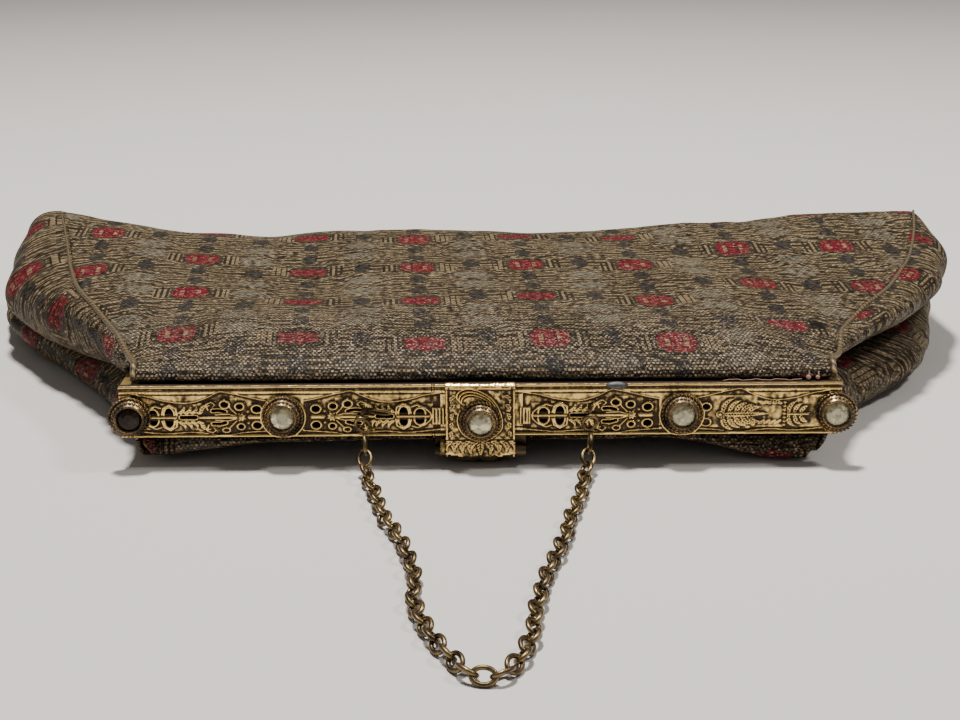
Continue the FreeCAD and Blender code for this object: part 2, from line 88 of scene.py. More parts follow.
def ripples(across, along, waves, seed):
    """Gentle unevenness of cloth: a few waves (shortest, longest, height) in seeded directions."""
    shortest, longest, height = waves
    local = np.random.default_rng(seed)
    total = np.zeros(np.broadcast(across, along).shape)
    for _ in range(14):
        length = local.uniform(shortest, longest)
        angle, phase = local.uniform(0, math.pi), local.uniform(0, 2 * math.pi)
        bearing = across * math.cos(angle) + along * math.sin(angle)
        total += np.sin(2 * math.pi * bearing / length + phase) * length / longest
    return total * height / 4


def mesh_object(name, points, faces, material, smooth=True):
    mesh = bpy.data.meshes.new(name)
    mesh.from_pydata((np.asarray(points, float) * MM).tolist(), [], faces)
    mesh.validate()
    mesh.polygons.foreach_set("use_smooth", [smooth] * len(mesh.polygons))
    mesh.materials.append(material)
    obj = bpy.data.objects.new(name, mesh)
    bpy.context.scene.collection.objects.link(obj)
    return obj


def grid_faces(rows, columns, close_columns=False):
    faces = []
    for i in range(rows - 1):
        for j in range(columns if close_columns else columns - 1):
            k = (j + 1) % columns
            faces.append((i * columns + j, i * columns + k, (i + 1) * columns + k, (i + 1) * columns + j))
    return faces


def set_weave(obj, across, along):
    """The cloth's own coordinates, in decimetres, as the UV layer that the weave reads."""
    layer = obj.data.uv_layers.new(name="weave")
    index = np.zeros(len(obj.data.loops), int)
    obj.data.loops.foreach_get("vertex_index", index)
    flat = np.stack([np.ravel(across), np.ravel(along)], 1) / 100
    layer.data.foreach_set("uv", flat[index].ravel())


def sheet_object(name, x, behind, z, material, thick, weave, offset=-1.0):
    """A closed sheet of cloth from a grid of places, with the given thickness."""
    rows, columns = x.shape
    points = np.stack([x, behind + FRONT, z], -1).reshape(-1, 3)
    obj = mesh_object(name, points, grid_faces(rows, columns), material)
    set_weave(obj, *weave)
    shell = obj.modifiers.new("thickness", "SOLIDIFY")
    shell.thickness = thick * MM
    shell.offset = offset
    return apply_modifiers(obj)


def apply_modifiers(obj):
    graph = bpy.context.evaluated_depsgraph_get()
    graph.update()
    made = bpy.data.meshes.new_from_object(obj.evaluated_get(graph))
    old = obj.data
    obj.modifiers.clear()
    obj.data = made
    bpy.data.meshes.remove(old)
    return obj


def joined(name, parts, material, smooth=True):
    """One mesh from several (points, faces) lists."""
    points, faces, start = [], [], 0
    for some_points, some_faces in parts:
        some_points = np.asarray(some_points, float)
        points.append(some_points)
        faces += [tuple(i + start for i in face) for face in some_faces]
        start += len(some_points)
    return mesh_object(name, np.concatenate(points), faces, material, smooth)


def tube(line, radius, sides=10, closed=False):
    """Points and faces of a round wire along a line; radius is a number or one per point."""
    line = np.asarray(line, float)
    radius = np.broadcast_to(radius, len(line))
    if closed:
        tangent = np.roll(line, -1, 0) - np.roll(line, 1, 0)
    else:
        tangent = np.gradient(line, axis=0)
    tangent /= np.linalg.norm(tangent, axis=1)[:, None]
    side = np.cross(tangent[0], (0.31, 0.87, 0.39))
    points = []
    for i, place in enumerate(line):
        side = side - tangent[i] * side.dot(tangent[i])
        side /= np.linalg.norm(side)
        other = np.cross(tangent[i], side)
        turn = np.linspace(0, 2 * math.pi, sides, endpoint=False)
        ring = np.outer(np.cos(turn), side) + np.outer(np.sin(turn), other)
        points.append(place + ring * radius[i])
    count = len(line)
    faces = grid_faces(count, sides, close_columns=True)
    if closed:
        last = (count - 1) * sides
        faces += [(last + j, last + (j + 1) % sides, (j + 1) % sides, j) for j in range(sides)]
    else:
        faces.append(tuple(range(sides))[::-1])
        faces.append(tuple((count - 1) * sides + j for j in range(sides)))
    return np.concatenate(points), faces


def lathe(profile, steps=48):
    """Points and faces turned about the Y axis from (radius, forward) pairs; forward is towards -Y."""
    turn = np.linspace(0, 2 * math.pi, steps, endpoint=False)
    points = [(r * math.cos(a), -f, r * math.sin(a)) for r, f in profile for a in turn]
    return np.array(points), grid_faces(len(profile), steps, close_columns=True)


def ball(centre, radius, rings=5, steps=8, squash=1.0):
    points = [(0, 0, radius)]
    for i in range(1, rings):
        a = math.pi * i / rings
        for j in range(steps):
            b = 2 * math.pi * j / steps
            points.append((radius * math.sin(a) * math.cos(b), radius * math.sin(a) * math.sin(b) * squash,
                           radius * math.cos(a)))
    points.append((0, 0, -radius))
    faces = [(0, 1 + j, 1 + (j + 1) % steps) for j in range(steps)]
    for i in range(rings - 2):
        for j in range(steps):
            a, b = 1 + i * steps + j, 1 + i * steps + (j + 1) % steps
            faces.append((a, a + steps, b + steps, b))
    last = len(points) - 1
    faces += [(last, last - steps + (j + 1) % steps, last - steps + j) for j in range(steps)]
    return np.array(points) + np.asarray(centre, float), faces


# ---------------------------------------------------------------- shader arithmetic

class Field:
    """A shader socket that can be added, multiplied and compared, one Math node each."""

    def __init__(self, tree, socket):
        self.tree, self.socket = tree, socket

    def math(self, operation, *others):
        node = self.tree.nodes.new("ShaderNodeMath")
        node.operation = operation
        for slot, value in zip(node.inputs, (self, *others)):
            if isinstance(value, Field):
                self.tree.links.new(value.socket, slot)
            else:
                slot.default_value = value
        return Field(self.tree, node.outputs[0])

    def __add__(self, other):
        return self.math("ADD", other)

    def __sub__(self, other):
        return self.math("SUBTRACT", other)

    def __mul__(self, other):
        return self.math("MULTIPLY", other)

    def __truediv__(self, other):
        return self.math("DIVIDE", other)

    def below(self, limit):
        return self.math("LESS_THAN", limit)

    def above(self, limit):
        return self.math("GREATER_THAN", limit)

    def either(self, other):
        return self.math("MAXIMUM", other)

    def both(self, other):
        return self.math("MINIMUM", other)

    def size(self):
        return self.math("ABSOLUTE")

    def floor(self):
        return self.math("FLOOR")

    def part(self):
        return self.math("FRACT")

    def flipped(self):
        return (self * -1.0) + 1.0

    def soft(self, low, high):
        node = self.tree.nodes.new("ShaderNodeMapRange")
        node.interpolation_type = "SMOOTHSTEP"
        self.tree.links.new(self.socket, node.inputs["Value"])
        node.inputs["From Min"].default_value = low
        node.inputs["From Max"].default_value = high
        return Field(self.tree, node.outputs["Result"])


class Shader:
    """A material being made: its nodes, and short names for the ones that repeat."""

    def __init__(self, name):
        self.material = bpy.data.materials.new(name)
        self.material.use_nodes = True
        self.tree = self.material.node_tree
        self.surface = self.tree.nodes["Principled BSDF"]

    def place(self):
        return self.tree.nodes.new("ShaderNodeTexCoord").outputs["Object"]

    def weave(self):
        """The cloth's across and along coordinates in millimetres."""
        node = self.tree.nodes.new("ShaderNodeUVMap")
        node.uv_map = "weave"
        split = self.tree.nodes.new("ShaderNodeSeparateXYZ")
        self.tree.links.new(node.outputs[0], split.inputs[0])
        return Field(self.tree, split.outputs[0]) * 100, Field(self.tree, split.outputs[1]) * 100

    def vector(self, x, y, z=0.0):
        node = self.tree.nodes.new("ShaderNodeCombineXYZ")
        for slot, value in zip(node.inputs, (x, y, z)):
            if isinstance(value, Field):
                self.tree.links.new(value.socket, slot)
            else:
                slot.default_value = value
        return node.outputs[0]

    def noise(self, vector, scale, detail=3.0, stretch=None):
        if stretch:
            mapping = self.tree.nodes.new("ShaderNodeMapping")
            mapping.inputs["Scale"].default_value = stretch
            self.tree.links.new(vector, mapping.inputs[0])
            vector = mapping.outputs[0]
        node = self.tree.nodes.new("ShaderNodeTexNoise")
        self.tree.links.new(vector, node.inputs["Vector"])
        node.inputs["Scale"].default_value = scale
        node.inputs["Detail"].default_value = detail
        return Field(self.tree, node.outputs[0])

    def chance(self, x, y):
        """An even random number for each whole cell."""
        node = self.tree.nodes.new("ShaderNodeTexWhiteNoise")
        node.noise_dimensions = "2D"
        self.tree.links.new(self.vector(x, y), node.inputs["Vector"])
        return Field(self.tree, node.outputs[0])

    def attribute(self, name):
        node = self.tree.nodes.new("ShaderNodeAttribute")
        node.attribute_name = name
        return Field(self.tree, node.outputs["Fac"])

    def mix(self, amount, first, second):
        node = self.tree.nodes.new("ShaderNodeMix")
        node.data_type = "RGBA"
        if isinstance(amount, Field):
            self.tree.links.new(amount.socket, node.inputs["Factor"])
        else:
            node.inputs["Factor"].default_value = amount
        for slot, colour in ((node.inputs[6], first), (node.inputs[7], second)):
            if isinstance(colour, tuple):
                slot.default_value = (*colour, 1.0)
            else:
                self.tree.links.new(colour, slot)
        return node.outputs[2]

    def scaled(self, colour, amount):
        """A colour made darker or lighter by a field."""
        node = self.tree.nodes.new("ShaderNodeVectorMath")
        node.operation = "SCALE"
        self.tree.links.new(colour, node.inputs[0])
        self.tree.links.new(amount.socket, node.inputs["Scale"])
        return node.outputs[0]

    def set(self, **sockets):
        names = {"colour": "Base Color", "metal": "Metallic", "rough": "Roughness"}
        for key, value in sockets.items():
            slot = self.surface.inputs[names.get(key, key.replace("_", " ").title())]
            if isinstance(value, Field):
                self.tree.links.new(value.socket, slot)
            elif isinstance(value, bpy.types.NodeSocket):
                self.tree.links.new(value, slot)
            elif isinstance(value, tuple):
                slot.default_value = (*value, 1.0)
            else:
                slot.default_value = value
        return self

    def bump(self, height, distance, strength=1.0):
        node = self.tree.nodes.new("ShaderNodeBump")
        node.inputs["Distance"].default_value = distance * MM
        node.inputs["Strength"].default_value = strength
        self.tree.links.new(height.socket, node.inputs["Height"])
        self.tree.links.new(node.outputs[0], self.surface.inputs["Normal"])
        return self


# ---------------------------------------------------------------- metals

def unshaded_ends(shader, place):
    """Where the channels are left bright: only at their ends and arms, back from their front face. Elsewhere
    they are darkened with painted shade and grime, where they lie behind the pierced strip and under the
    cloth.
    """
    split = shader.tree.nodes.new("ShaderNodeSeparateXYZ")
    shader.tree.links.new(place, split.inputs[0])
    across, behind = Field(shader.tree, split.outputs[0]), Field(shader.tree, split.outputs[1])
    ends = across.size().soft((HALF_WIDTH - 4.5) * MM, (HALF_WIDTH - 3.5) * MM)
    return ends * behind.soft((FRONT + 0.9) * MM, (FRONT + 1.6) * MM)


def aged_metal(name, bright, dark, rough=0.38, worn="patina"):
    """Gilt or bronze: bright where it is rubbed, brown-black where grime stays; with worn set to ends, also
    brown-black as painted shade away from the channel's ends.
    """
    shader = Shader(name)
    place = shader.place()
    stain = shader.noise(place, 260, 5)
    fine = shader.noise(place, 1600, 3)
    dirt_and_shade = (stain * 0.75 + fine * 0.45).soft(0.42, 0.80)
    # worn set to ends: painted shade and grime darken the channel everywhere but at its ends and arms
    if worn == "ends":
        dirt_and_shade = (dirt_and_shade * 0.55 + unshaded_ends(shader, place).flipped() * 0.85).soft(0.12, 0.86)
    elif worn:
        dirt_and_shade = (dirt_and_shade * 0.40 + shader.attribute(worn).flipped() * 0.95).soft(0.22, 0.84)
    tint = shader.mix(shader.noise(place, 90, 2), tuple(c * 0.82 for c in bright), bright)
    shader.set(colour=shader.mix(dirt_and_shade, tint, dark), metal=(dirt_and_shade * -0.55) + 1.0,
               rough=dirt_and_shade * 0.34 + rough)
    shader.bump(fine * 0.5 + stain * 0.5, 0.06)
    return shader.material


def wire_metal(name, bright, dark, rough):
    shader = Shader(name)
    place = shader.place()
    stain = shader.noise(place, 420, 4)
    shader.set(colour=shader.mix(stain.soft(0.36, 0.72), bright, dark), metal=0.95,
               rough=stain * 0.25 + rough)
    shader.bump(shader.noise(place, 2200, 2), 0.02)
    return shader.material


GILT = aged_metal("aged_gilt", (0.98, 0.69, 0.25), (0.040, 0.021, 0.009), 0.24)
GILT_PLAIN = aged_metal("gilt_channel", (0.62, 0.43, 0.16), (0.070, 0.044, 0.022), 0.34, worn=None)
# the channels carry painted shade and grime over all but their ends
CHANNEL = aged_metal("channel_metal", (0.62, 0.43, 0.16), (0.030, 0.020, 0.012), 0.40, worn="ends")
SETTING = aged_metal("setting_metal", (0.33, 0.225, 0.11), (0.016, 0.010, 0.006), 0.26, worn=None)
# very dark metal for the hinge rivets, the clasp's bracket and its pin
DARK_METAL = wire_metal("tarnished_metal", (0.105, 0.078, 0.048), (0.024, 0.018, 0.014), 0.42)
CHAIN_METAL = wire_metal("antique_bronze", (0.235, 0.168, 0.082), (0.040, 0.029, 0.017), 0.25)
SOLDER = wire_metal("solder_lump", (0.14, 0.14, 0.135), (0.05, 0.045, 0.04), 0.5)


def stone_material(name, pale, deep, coat=0.6, specular=0.5):
    """Paste stone over old foil: pale facets with darker flecks under the surface; each cut face lighter or
    darker at random as painted reflection, and small white painted highlights.
    """
    shader = Shader(name)
    place = shader.place()
    flecks = shader.noise(place, 900, 4).soft(0.50, 0.66)
    # painted reflection: each cut face lighter or darker at random
    facet_reflection = shader.attribute("facet_reflection")
    tone = shader.mix(facet_reflection * 0.7 + 0.3, deep, pale)
    # painted highlights: small white flecks of sparkle
    tone = shader.mix(shader.noise(place, 520, 2).soft(0.56, 0.60), tone,
                      tuple(min(c * 1.6, 1.0) for c in pale))
    shader.set(colour=shader.mix(flecks * 0.7, tone, deep), metal=0.1, rough=0.06)
    shader.surface.inputs["IOR"].default_value = 1.62
    shader.surface.inputs["Specular IOR Level"].default_value = specular
    shader.surface.inputs["Coat Weight"].default_value = coat
    shader.surface.inputs["Coat Roughness"].default_value = 0.03
    return shader.material


STONE = stone_material("paste_stone", (0.60, 0.55, 0.34), (0.15, 0.13, 0.07))
DARK_STONE = stone_material("dark_stone", (0.022, 0.013, 0.009), (0.010, 0.006, 0.005), 0.03, 0.12)

# ---------------------------------------------------------------- cloth materials

MOTIF_ACROSS = 27.7
MOTIF_ALONG = 28.5
THREAD_ACROSS = 0.34
THREAD_ALONG = 0.30
FIGURE_STEP = 9.8
WEAR_SPOTS = ((-109.5, 119.5, 3.6), (76.5, 29.5, 2.6), (108.2, 119.5, 1.6))
DASH_ROW = 0.76
DASH_LENGTH = 0.96
CREAM, SILVER = (0.42, 0.305, 0.165), (0.255, 0.238, 0.185)
CLOTH_DARK, BLUE_BLACK = (0.010, 0.008, 0.006), (0.022, 0.025, 0.030)
CRIMSON, PINK_GOLD = (0.225, 0.009, 0.022), (0.80, 0.58, 0.44)


def within(field, low, high):
    return field.above(low).both(field.below(high))


def row_shift(shader, column, last):
    """How far a column of figures is moved along, as a share of a row; the woven repeats don't line up."""
    return shader.chance(column, 7.0) * 0.14 + column.above(last) * 0.44 + within(column, -3.5, -2.5) * 0.30


def brocade(name, fade=58.0):
    """Metallic brocade: dashes of silver-gilt thread, and a lattice of woven figures."""
    shader = Shader(name)
    across, along = shader.weave()
    # woven steps: figures change only from one thread to the next
    step_x = (across / THREAD_ACROSS).floor()
    step_y = (along / THREAD_ALONG).floor()
    x, y = step_x * THREAD_ACROSS, step_y * THREAD_ALONG
    column = (x / MOTIF_ACROSS).floor()
    place_y = y / MOTIF_ALONG - row_shift(shader, column, 1.5)
    half_column = (x / MOTIF_ACROSS + 0.5).floor()
    half_y = y / MOTIF_ALONG - row_shift(shader, half_column + 0.5, 2.2)
    kind = shader.chance(column, place_y.floor())
    # the place within the motif, in millimetres from its middle, and from the lines between motifs
    a = ((x / MOTIF_ACROSS).part() - 0.5).size() * MOTIF_ACROSS
    b = (place_y.part() - 0.5).size() * MOTIF_ALONG
    between = (a * -1.0) + MOTIF_ACROSS / 2
    beyond = (b - FIGURE_STEP).size()
    half_b = (half_y.part() - 0.5).size() * MOTIF_ALONG
    half_beyond = (half_b - FIGURE_STEP).size()

    octagon = a.below(4.2).both(b.below(4.0)).both((a + b).below(6.5))
    bar = a.below(4.4).both((a * 0.28 + b).below(3.2))
    wide = kind.above(0.45)
    red = octagon.both(wide).either(bar.both(wide.flipped()))
    red_grid = within(a, 1.1, 1.6).either(b.below(0.35)).either(within(b, 2.2, 2.6))
    edge = a.below(5.0).both(b.below(4.9)).both((a + b).below(7.9)).both(red.flipped())

    stroke = (a / 1.35).part().below(0.46)
    posts = within(a, 5.4, 9.2).both(b.below(3.2))
    hatch = (half_b / 1.75).part().below(0.42)
    side_bars = within(between, 2.3, 7.0).both(half_b.below(2.7)).both(a.above(6.6))
    far_hatch = (beyond / 1.55).part().below(0.40)
    far_bars = within(a, 2.1, 6.8).both(beyond.below(2.4))
    cross = between.below(2.2).both(half_b.below(2.3)).either(between.below(1.1).both(half_b.below(3.4)))
    cross = cross.either(a.below(1.9).both(beyond.below(1.9))).either(a.below(1.0).both(beyond.below(2.9)))
    oval = (between * between * 0.050 + half_beyond * half_beyond * 0.13).below(1.0)

    place = shader.vector(across, along)
    drift = shader.noise(place, 0.06, 2)
    ragged = shader.noise(place, 1.3, 3, stretch=(0.5, 1.4, 1.0))
    warp = shader.noise(place, 0.13, 2)
    # contour streaks: thin dark lines that follow the figures and break into dashes
    bow = (a * a - 60.0) * b.soft(0.0, 14.0) * -0.012
    contour = ((along + bow) / 2.0 + warp * 4.0).part().below(0.42)
    contour = contour.both(shader.noise(place, 0.50, 3, stretch=(0.40, 1.6, 1.0)).above(0.40))
    spark = shader.chance(step_x, step_y)
    # brick-laid dashes of metal thread with the dark warp between them
    brick = (along / DASH_ROW).floor()
    dash = (across / DASH_LENGTH + brick * 0.5 + ragged * 0.8).part().below(0.42)
    checker = dash.either((along / DASH_ROW).part().below(0.30))
    near = along.soft(fade, 4.0)

    ground = shader.mix(drift.soft(0.35, 0.68), (0.138, 0.094, 0.050), (0.196, 0.145, 0.085))
    ground = shader.mix(ragged.soft(0.48, 0.60), ground, (0.44, 0.335, 0.200))
    body = shader.mix(oval * ragged.soft(0.36, 0.60) * 0.72, ground, SILVER)
    cream = posts.either(side_bars).either(far_bars)
    lines = posts.both(stroke).either(side_bars.both(hatch)).either(far_bars.both(far_hatch))
    plain = red.either(cream).either(oval).either(cross).flipped()
    body = shader.mix(cream * (ragged * 0.6 + near * 0.1 + 0.42), body, CREAM)
    body = shader.mix(lines.either(edge * 0.7).either(contour.both(plain) * 0.92) * 0.88, body, CLOTH_DARK)
    body = shader.mix(cross * 0.80, body, BLUE_BLACK)
    body = shader.mix(red * (drift * 0.5 + 0.65), body, CRIMSON)
    body = shader.mix(red.both(red_grid) * 0.62, body, (0.060, 0.012, 0.016))
    panes = within(a, 1.5, 2.5).both(b.below(1.7)).both(wide)
    body = shader.mix(panes * ragged.soft(0.40, 0.56) * 0.75, body, CREAM)
    body = shader.mix(red.both(spark.above(0.93)) * 0.80, body, (0.46, 0.26, 0.20))
    # painted highlights: pink-gold and pale silver glints of the metal thread, only near the frame
    glints = spark.above(0.90).both(drift.above(0.42)) * near * (red * -0.6 + 1.0)
    body = shader.mix(glints * 0.8, body, PINK_GOLD)
    silver_glints = within(spark, 0.70, 0.82) * near
    body = shader.mix(silver_glints * 0.5, body, (0.46, 0.42, 0.34))
    dark_float = checker * (near * 0.36 + 0.46) * (red * -0.6 + 1.0)
    worn = ragged.soft(0.46, 0.32) * 0.75
    body = shader.mix(dark_float.either(worn), body, CLOTH_DARK)
    body = shader.scaled(body, drift * 0.34 + ragged * 1.55 + (near * 0.06 - 0.34))
    for spot_x, spot_y, size in WEAR_SPOTS:
        gap = ((across - spot_x) * (across - spot_x) + (along - spot_y) * (along - spot_y)).math("SQRT")
        body = shader.mix((gap / size + ragged * 1.6).soft(1.9, 1.3), body, CLOTH_DARK)
    shader.set(colour=body, metal=0.0, rough=(ragged * 0.3) + 0.42)
    shader.surface.inputs["Specular IOR Level"].default_value = 0.07
    height = checker * -0.5 + ragged * 1.4 + contour * -0.6 + cream * 0.3
    shader.bump(height, 0.12, 0.8)
    return shader.material


def plain_cloth(name, light, shade, thread, rough, metal=0.0):
    """A plain weave or satin with fine threads and a little unevenness."""
    shader = Shader(name)
    across, along = shader.weave()
    place = shader.vector(across, along)
    uneven = shader.noise(place, 0.3, 3)
    threads = ((across / thread).part() - 0.5).size() + ((along / thread).part() - 0.5).size()
    shader.set(colour=shader.mix(uneven * 0.6 + threads * 0.4, shade, light), rough=rough, metal=metal)
    shader.bump(threads, 0.05)
    return shader.material


def gold_cord(name):
    shader = Shader(name)
    across, along = shader.weave()
    strand = ((along / 1.5 + across / 5.6).part() - 0.5).size()
    uneven = shader.noise(shader.vector(across, along), 0.25, 3)
    base = shader.mix(strand.soft(0.05, 0.45), (0.050, 0.033, 0.015), (0.225, 0.155, 0.062))
    worn = shader.mix(uneven.soft(0.40, 0.64), base, (0.125, 0.096, 0.058))
    shader.set(colour=worn, metal=0.3, rough=0.42)
    shader.bump(strand, 0.18)
    return shader.material


BROCADE = brocade("metallic_brocade")
LINING = plain_cloth("satin_lining", (0.56, 0.40, 0.30), (0.40, 0.27, 0.20), 0.5, 0.38)
PIPING = gold_cord("gold_piping")
LOOSE_THREAD = plain_cloth("loose_threads", (0.42, 0.235, 0.17), (0.20, 0.11, 0.08), 0.3, 0.6)
PAPER = plain_cloth("paper_cord", (0.45, 0.36, 0.25), (0.3, 0.23, 0.15), 0.6, 0.8)

# ---------------------------------------------------------------- camera, floor, lights

CAMERA_BACK = 309.2
CAMERA_HEIGHT = 125.2
CAMERA_PITCH = 18.13
CAMERA_ROLL = -0.37
CAMERA_LENS = 57.3


def make_camera():
    data = bpy.data.cameras.new("camera")
    data.lens = CAMERA_LENS
    data.sensor_width = 36
    data.clip_start = 0.01
    camera = bpy.data.objects.new("camera", data)
    bpy.context.scene.collection.objects.link(camera)
    tilt = Matrix.Rotation(math.radians(90 - CAMERA_PITCH), 4, "X")
    roll = Matrix.Rotation(math.radians(CAMERA_ROLL), 4, "Z")
    spot = Vector((0, (FRONT - CAMERA_BACK) * MM, CAMERA_HEIGHT * MM))
    camera.matrix_world = Matrix.Translation(spot) @ tilt @ roll
    bpy.context.scene.camera = camera


def make_floor():
    shader = Shader("white_cloth")
    place = shader.place()
    shade = shader.noise(place, 3.0, 3)
    grain = shader.noise(place, 900, 2)
    shader.set(colour=shader.mix(shade, (0.650, 0.618, 0.590), (0.690, 0.660, 0.632)), rough=0.95)
    shader.bump(grain, 0.05)
    shader.surface.inputs["Specular IOR Level"].default_value = 0.1
    reach = 4000
    corners = [(-reach, -reach, 0), (reach, -reach, 0), (reach, reach, 0), (-reach, reach, 0)]
    floor = mesh_object("floor", corners, [(0, 1, 2, 3)], shader.material)


def make_light(name, place, aim, size, power, colour):
    data = bpy.data.lights.new(name, "AREA")
    data.shape = "DISK"
    data.size = size
    data.energy = power
    data.color = colour
    light = bpy.data.objects.new(name, data)
    light.location = place
    light.rotation_euler = (Vector(aim) - Vector(place)).to_track_quat("-Z", "Y").to_euler()
    bpy.context.scene.collection.objects.link(light)


def make_lights():
    world = bpy.data.worlds.new("studio")
    bpy.context.scene.world = world
    world.use_nodes = True
    world.node_tree.nodes["Background"].inputs[0].default_value = (1.0, 0.985, 0.965, 1)
    world.node_tree.nodes["Background"].inputs[1].default_value = 0.18
    make_light("key_overhead", (-0.10, 0.12, 1.15), (0, 0, 0), 0.16, 20.6, (1.0, 0.975, 0.94))
    make_light("second_overhead", (0.75, -0.05, 1.0), (0, 0, 0), 0.2, 5.6, (1.0, 0.975, 0.94))


make_camera()
make_floor()
make_lights()

# ---------------------------------------------------------------- chain

CHAIN_ROUTE = [
    (-25.0, -65.0, 7.6), (-24.7, -67.2, 4.8), (-24.2, -71.0, 2.4), (-23.2, -76.4, 1.7),
    (-21.3, -83.6, 1.6), (-19.8, -91.4, 1.6), (-16.4, -101.6, 1.6), (-13.6, -111.2, 1.6),
    (-12.0, -120.6, 1.6), (-12.4, -128.8, 1.6), (-10.0, -138.4, 1.6), (-6.4, -147.0, 1.6),
    (-1.8, -155.6, 1.6), (3.8, -155.2, 1.6), (7.4, -147.6, 1.6), (9.2, -138.2, 1.6),
    (9.9, -128.6, 1.6), (12.2, -118.0, 1.6), (15.6, -106.4, 1.6), (17.2, -96.4, 1.6),
    (20.0, -84.4, 1.6), (21.4, -76.4, 1.7), (22.6, -70.8, 2.4), (23.1, -67.0, 4.8),
    (23.4, -65.0, 7.6),
]
LINK_LENGTH, LINK_WIDTH, LINK_WIRE = 5.0, 3.7, 0.92
LINK_PITCH = 3.3


def spline_points(route):
    """The smooth line of a route, read from a NURBS curve with those control points."""
    data = bpy.data.curves.new("route", "CURVE")
    data.dimensions = "3D"
    data.resolution_u = 16
    spline = data.splines.new("NURBS")
    spline.points.add(len(route) - 1)
    for point, place in zip(spline.points, route):
        point.co = (*place, 1.0)
    spline.order_u = 3
    spline.use_endpoint_u = True
    holder = bpy.data.objects.new("route", data)
    bpy.context.scene.collection.objects.link(holder)
    graph = bpy.context.evaluated_depsgraph_get()
    mesh = bpy.data.meshes.new_from_object(holder.evaluated_get(graph))
    points = np.array([v.co for v in mesh.vertices])
    bpy.data.objects.remove(holder)
    bpy.data.curves.remove(data)
    bpy.data.meshes.remove(mesh)
    return points


def along_line(points, distance):
    gaps = np.linalg.norm(np.diff(points, axis=0), axis=1)
    run = np.concatenate([[0], np.cumsum(gaps)])
    return np.stack([np.interp(distance, run, points[:, k]) for k in range(3)], -1), run[-1]


def oval_link(centre, forward, side, length, width, wire):
    """One link: an oval ring of round wire, long along forward and wide along side."""
    turn = np.linspace(0, 2 * math.pi, 22, endpoint=False)
    half_long, half_wide = (length - wire) / 2, (width - wire) / 2
    line = (np.asarray(centre) + np.outer(np.cos(turn) * half_long, forward)
            + np.outer(np.sin(turn) * half_wide, side))
    return tube(line, wire / 2, 8, closed=True)


def make_chain():
    line = spline_points(CHAIN_ROUTE)
    _, total = along_line(line, 0)
    count = round(total / LINK_PITCH)
    parts = []
    for i in range(count):
        here = (i + 0.5) * total / count
        (before, middle, after), _ = along_line(line, [here - 0.8, here, here + 0.8])
        forward = after - before
        forward /= np.linalg.norm(forward)
        level = np.cross((0, 0, 1.0), forward)
        level /= np.linalg.norm(level)
        upright = np.cross(forward, level)
        hanging = 1 - ease(2.0, 5.5, middle[2])
        lean = 45 * hanging + 12 * (1 - hanging)
        angle = math.radians((lean if i % 2 else lean - 90) + random.uniform(-9, 9))
        side = level * math.cos(angle) + upright * math.sin(angle)
        sway = level * random.uniform(-0.22, 0.22)
        parts.append(oval_link(middle + sway, forward, side, LINK_LENGTH, LINK_WIDTH, LINK_WIRE))
    chain = joined("chain_links", parts, CHAIN_METAL)
    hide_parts("chain")
    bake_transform(chain)


make_chain()

# ---------------------------------------------------------------- the bag

# Distances behind the strip and heights of the front panel's middle, from the channel over the top
# and down the far wall; then the side seams: where they run on each side.
PANEL_BEHIND = [5.2, 6.8, 6.2, 3.8, 1.8, 1.2, 2.6, 6.2, 12.0, 20.0, 38.0, 66.0, 90.0, 104.0, 112.0,
                118.0, 121.5, 122.6, 122.4]
PANEL_HEIGHT = [16.9, 17.7, 18.8, 18.9, 19.0, 19.9, 21.6, 23.5, 25.1, 26.1, 26.3, 27.0, 27.4, 26.9, 25.3,
                22.2, 17.6, 13.4, 10.9]
SEAM_BEHIND = [2, 5, 9, 12.5, 26, 41.5, 52, 68, 90, 110, 117, 124, 129]
SEAM_LEFT = [73.9, 74.3, 75.6, 76.9, 83.0, 91.4, 97.2, 103.2, 109.8, 116.0, 118.2, 119.8, 119.4]
SEAM_RIGHT = [75.4, 75.6, 76.8, 78.5, 82.6, 92.0, 99.2, 107.6, 115.6, 120.8, 122.8, 123.6, 122.4]
# How much the far edge stands above or below the middle, across the bag.
FAR_ACROSS = [-124, -102, -77.5, -61, -52, -23, 0, 35, 68, 105, 124]
FAR_LIFT = [8.5, 3.2, -0.6, -1.3, -0.4, 0.6, 0.0, 0.3, 2.6, 4.8, 4.8]
# How much the side seams sit below the middle, near the frame.
SEAM_DROP_BEHIND = [2, 6, 12, 26, 41, 68, 130]
SEAM_DROP = [0.0, 1.6, 4.2, 3.4, 2.0, 1.0, 0.8]
CLOTH_THICK = 0.8
LINING_SUNK = 2.2
SKEW = 0.065


def seam_place(side, behind):
    return side * smooth_line(SEAM_BEHIND, SEAM_LEFT if side < 0 else SEAM_RIGHT, behind)


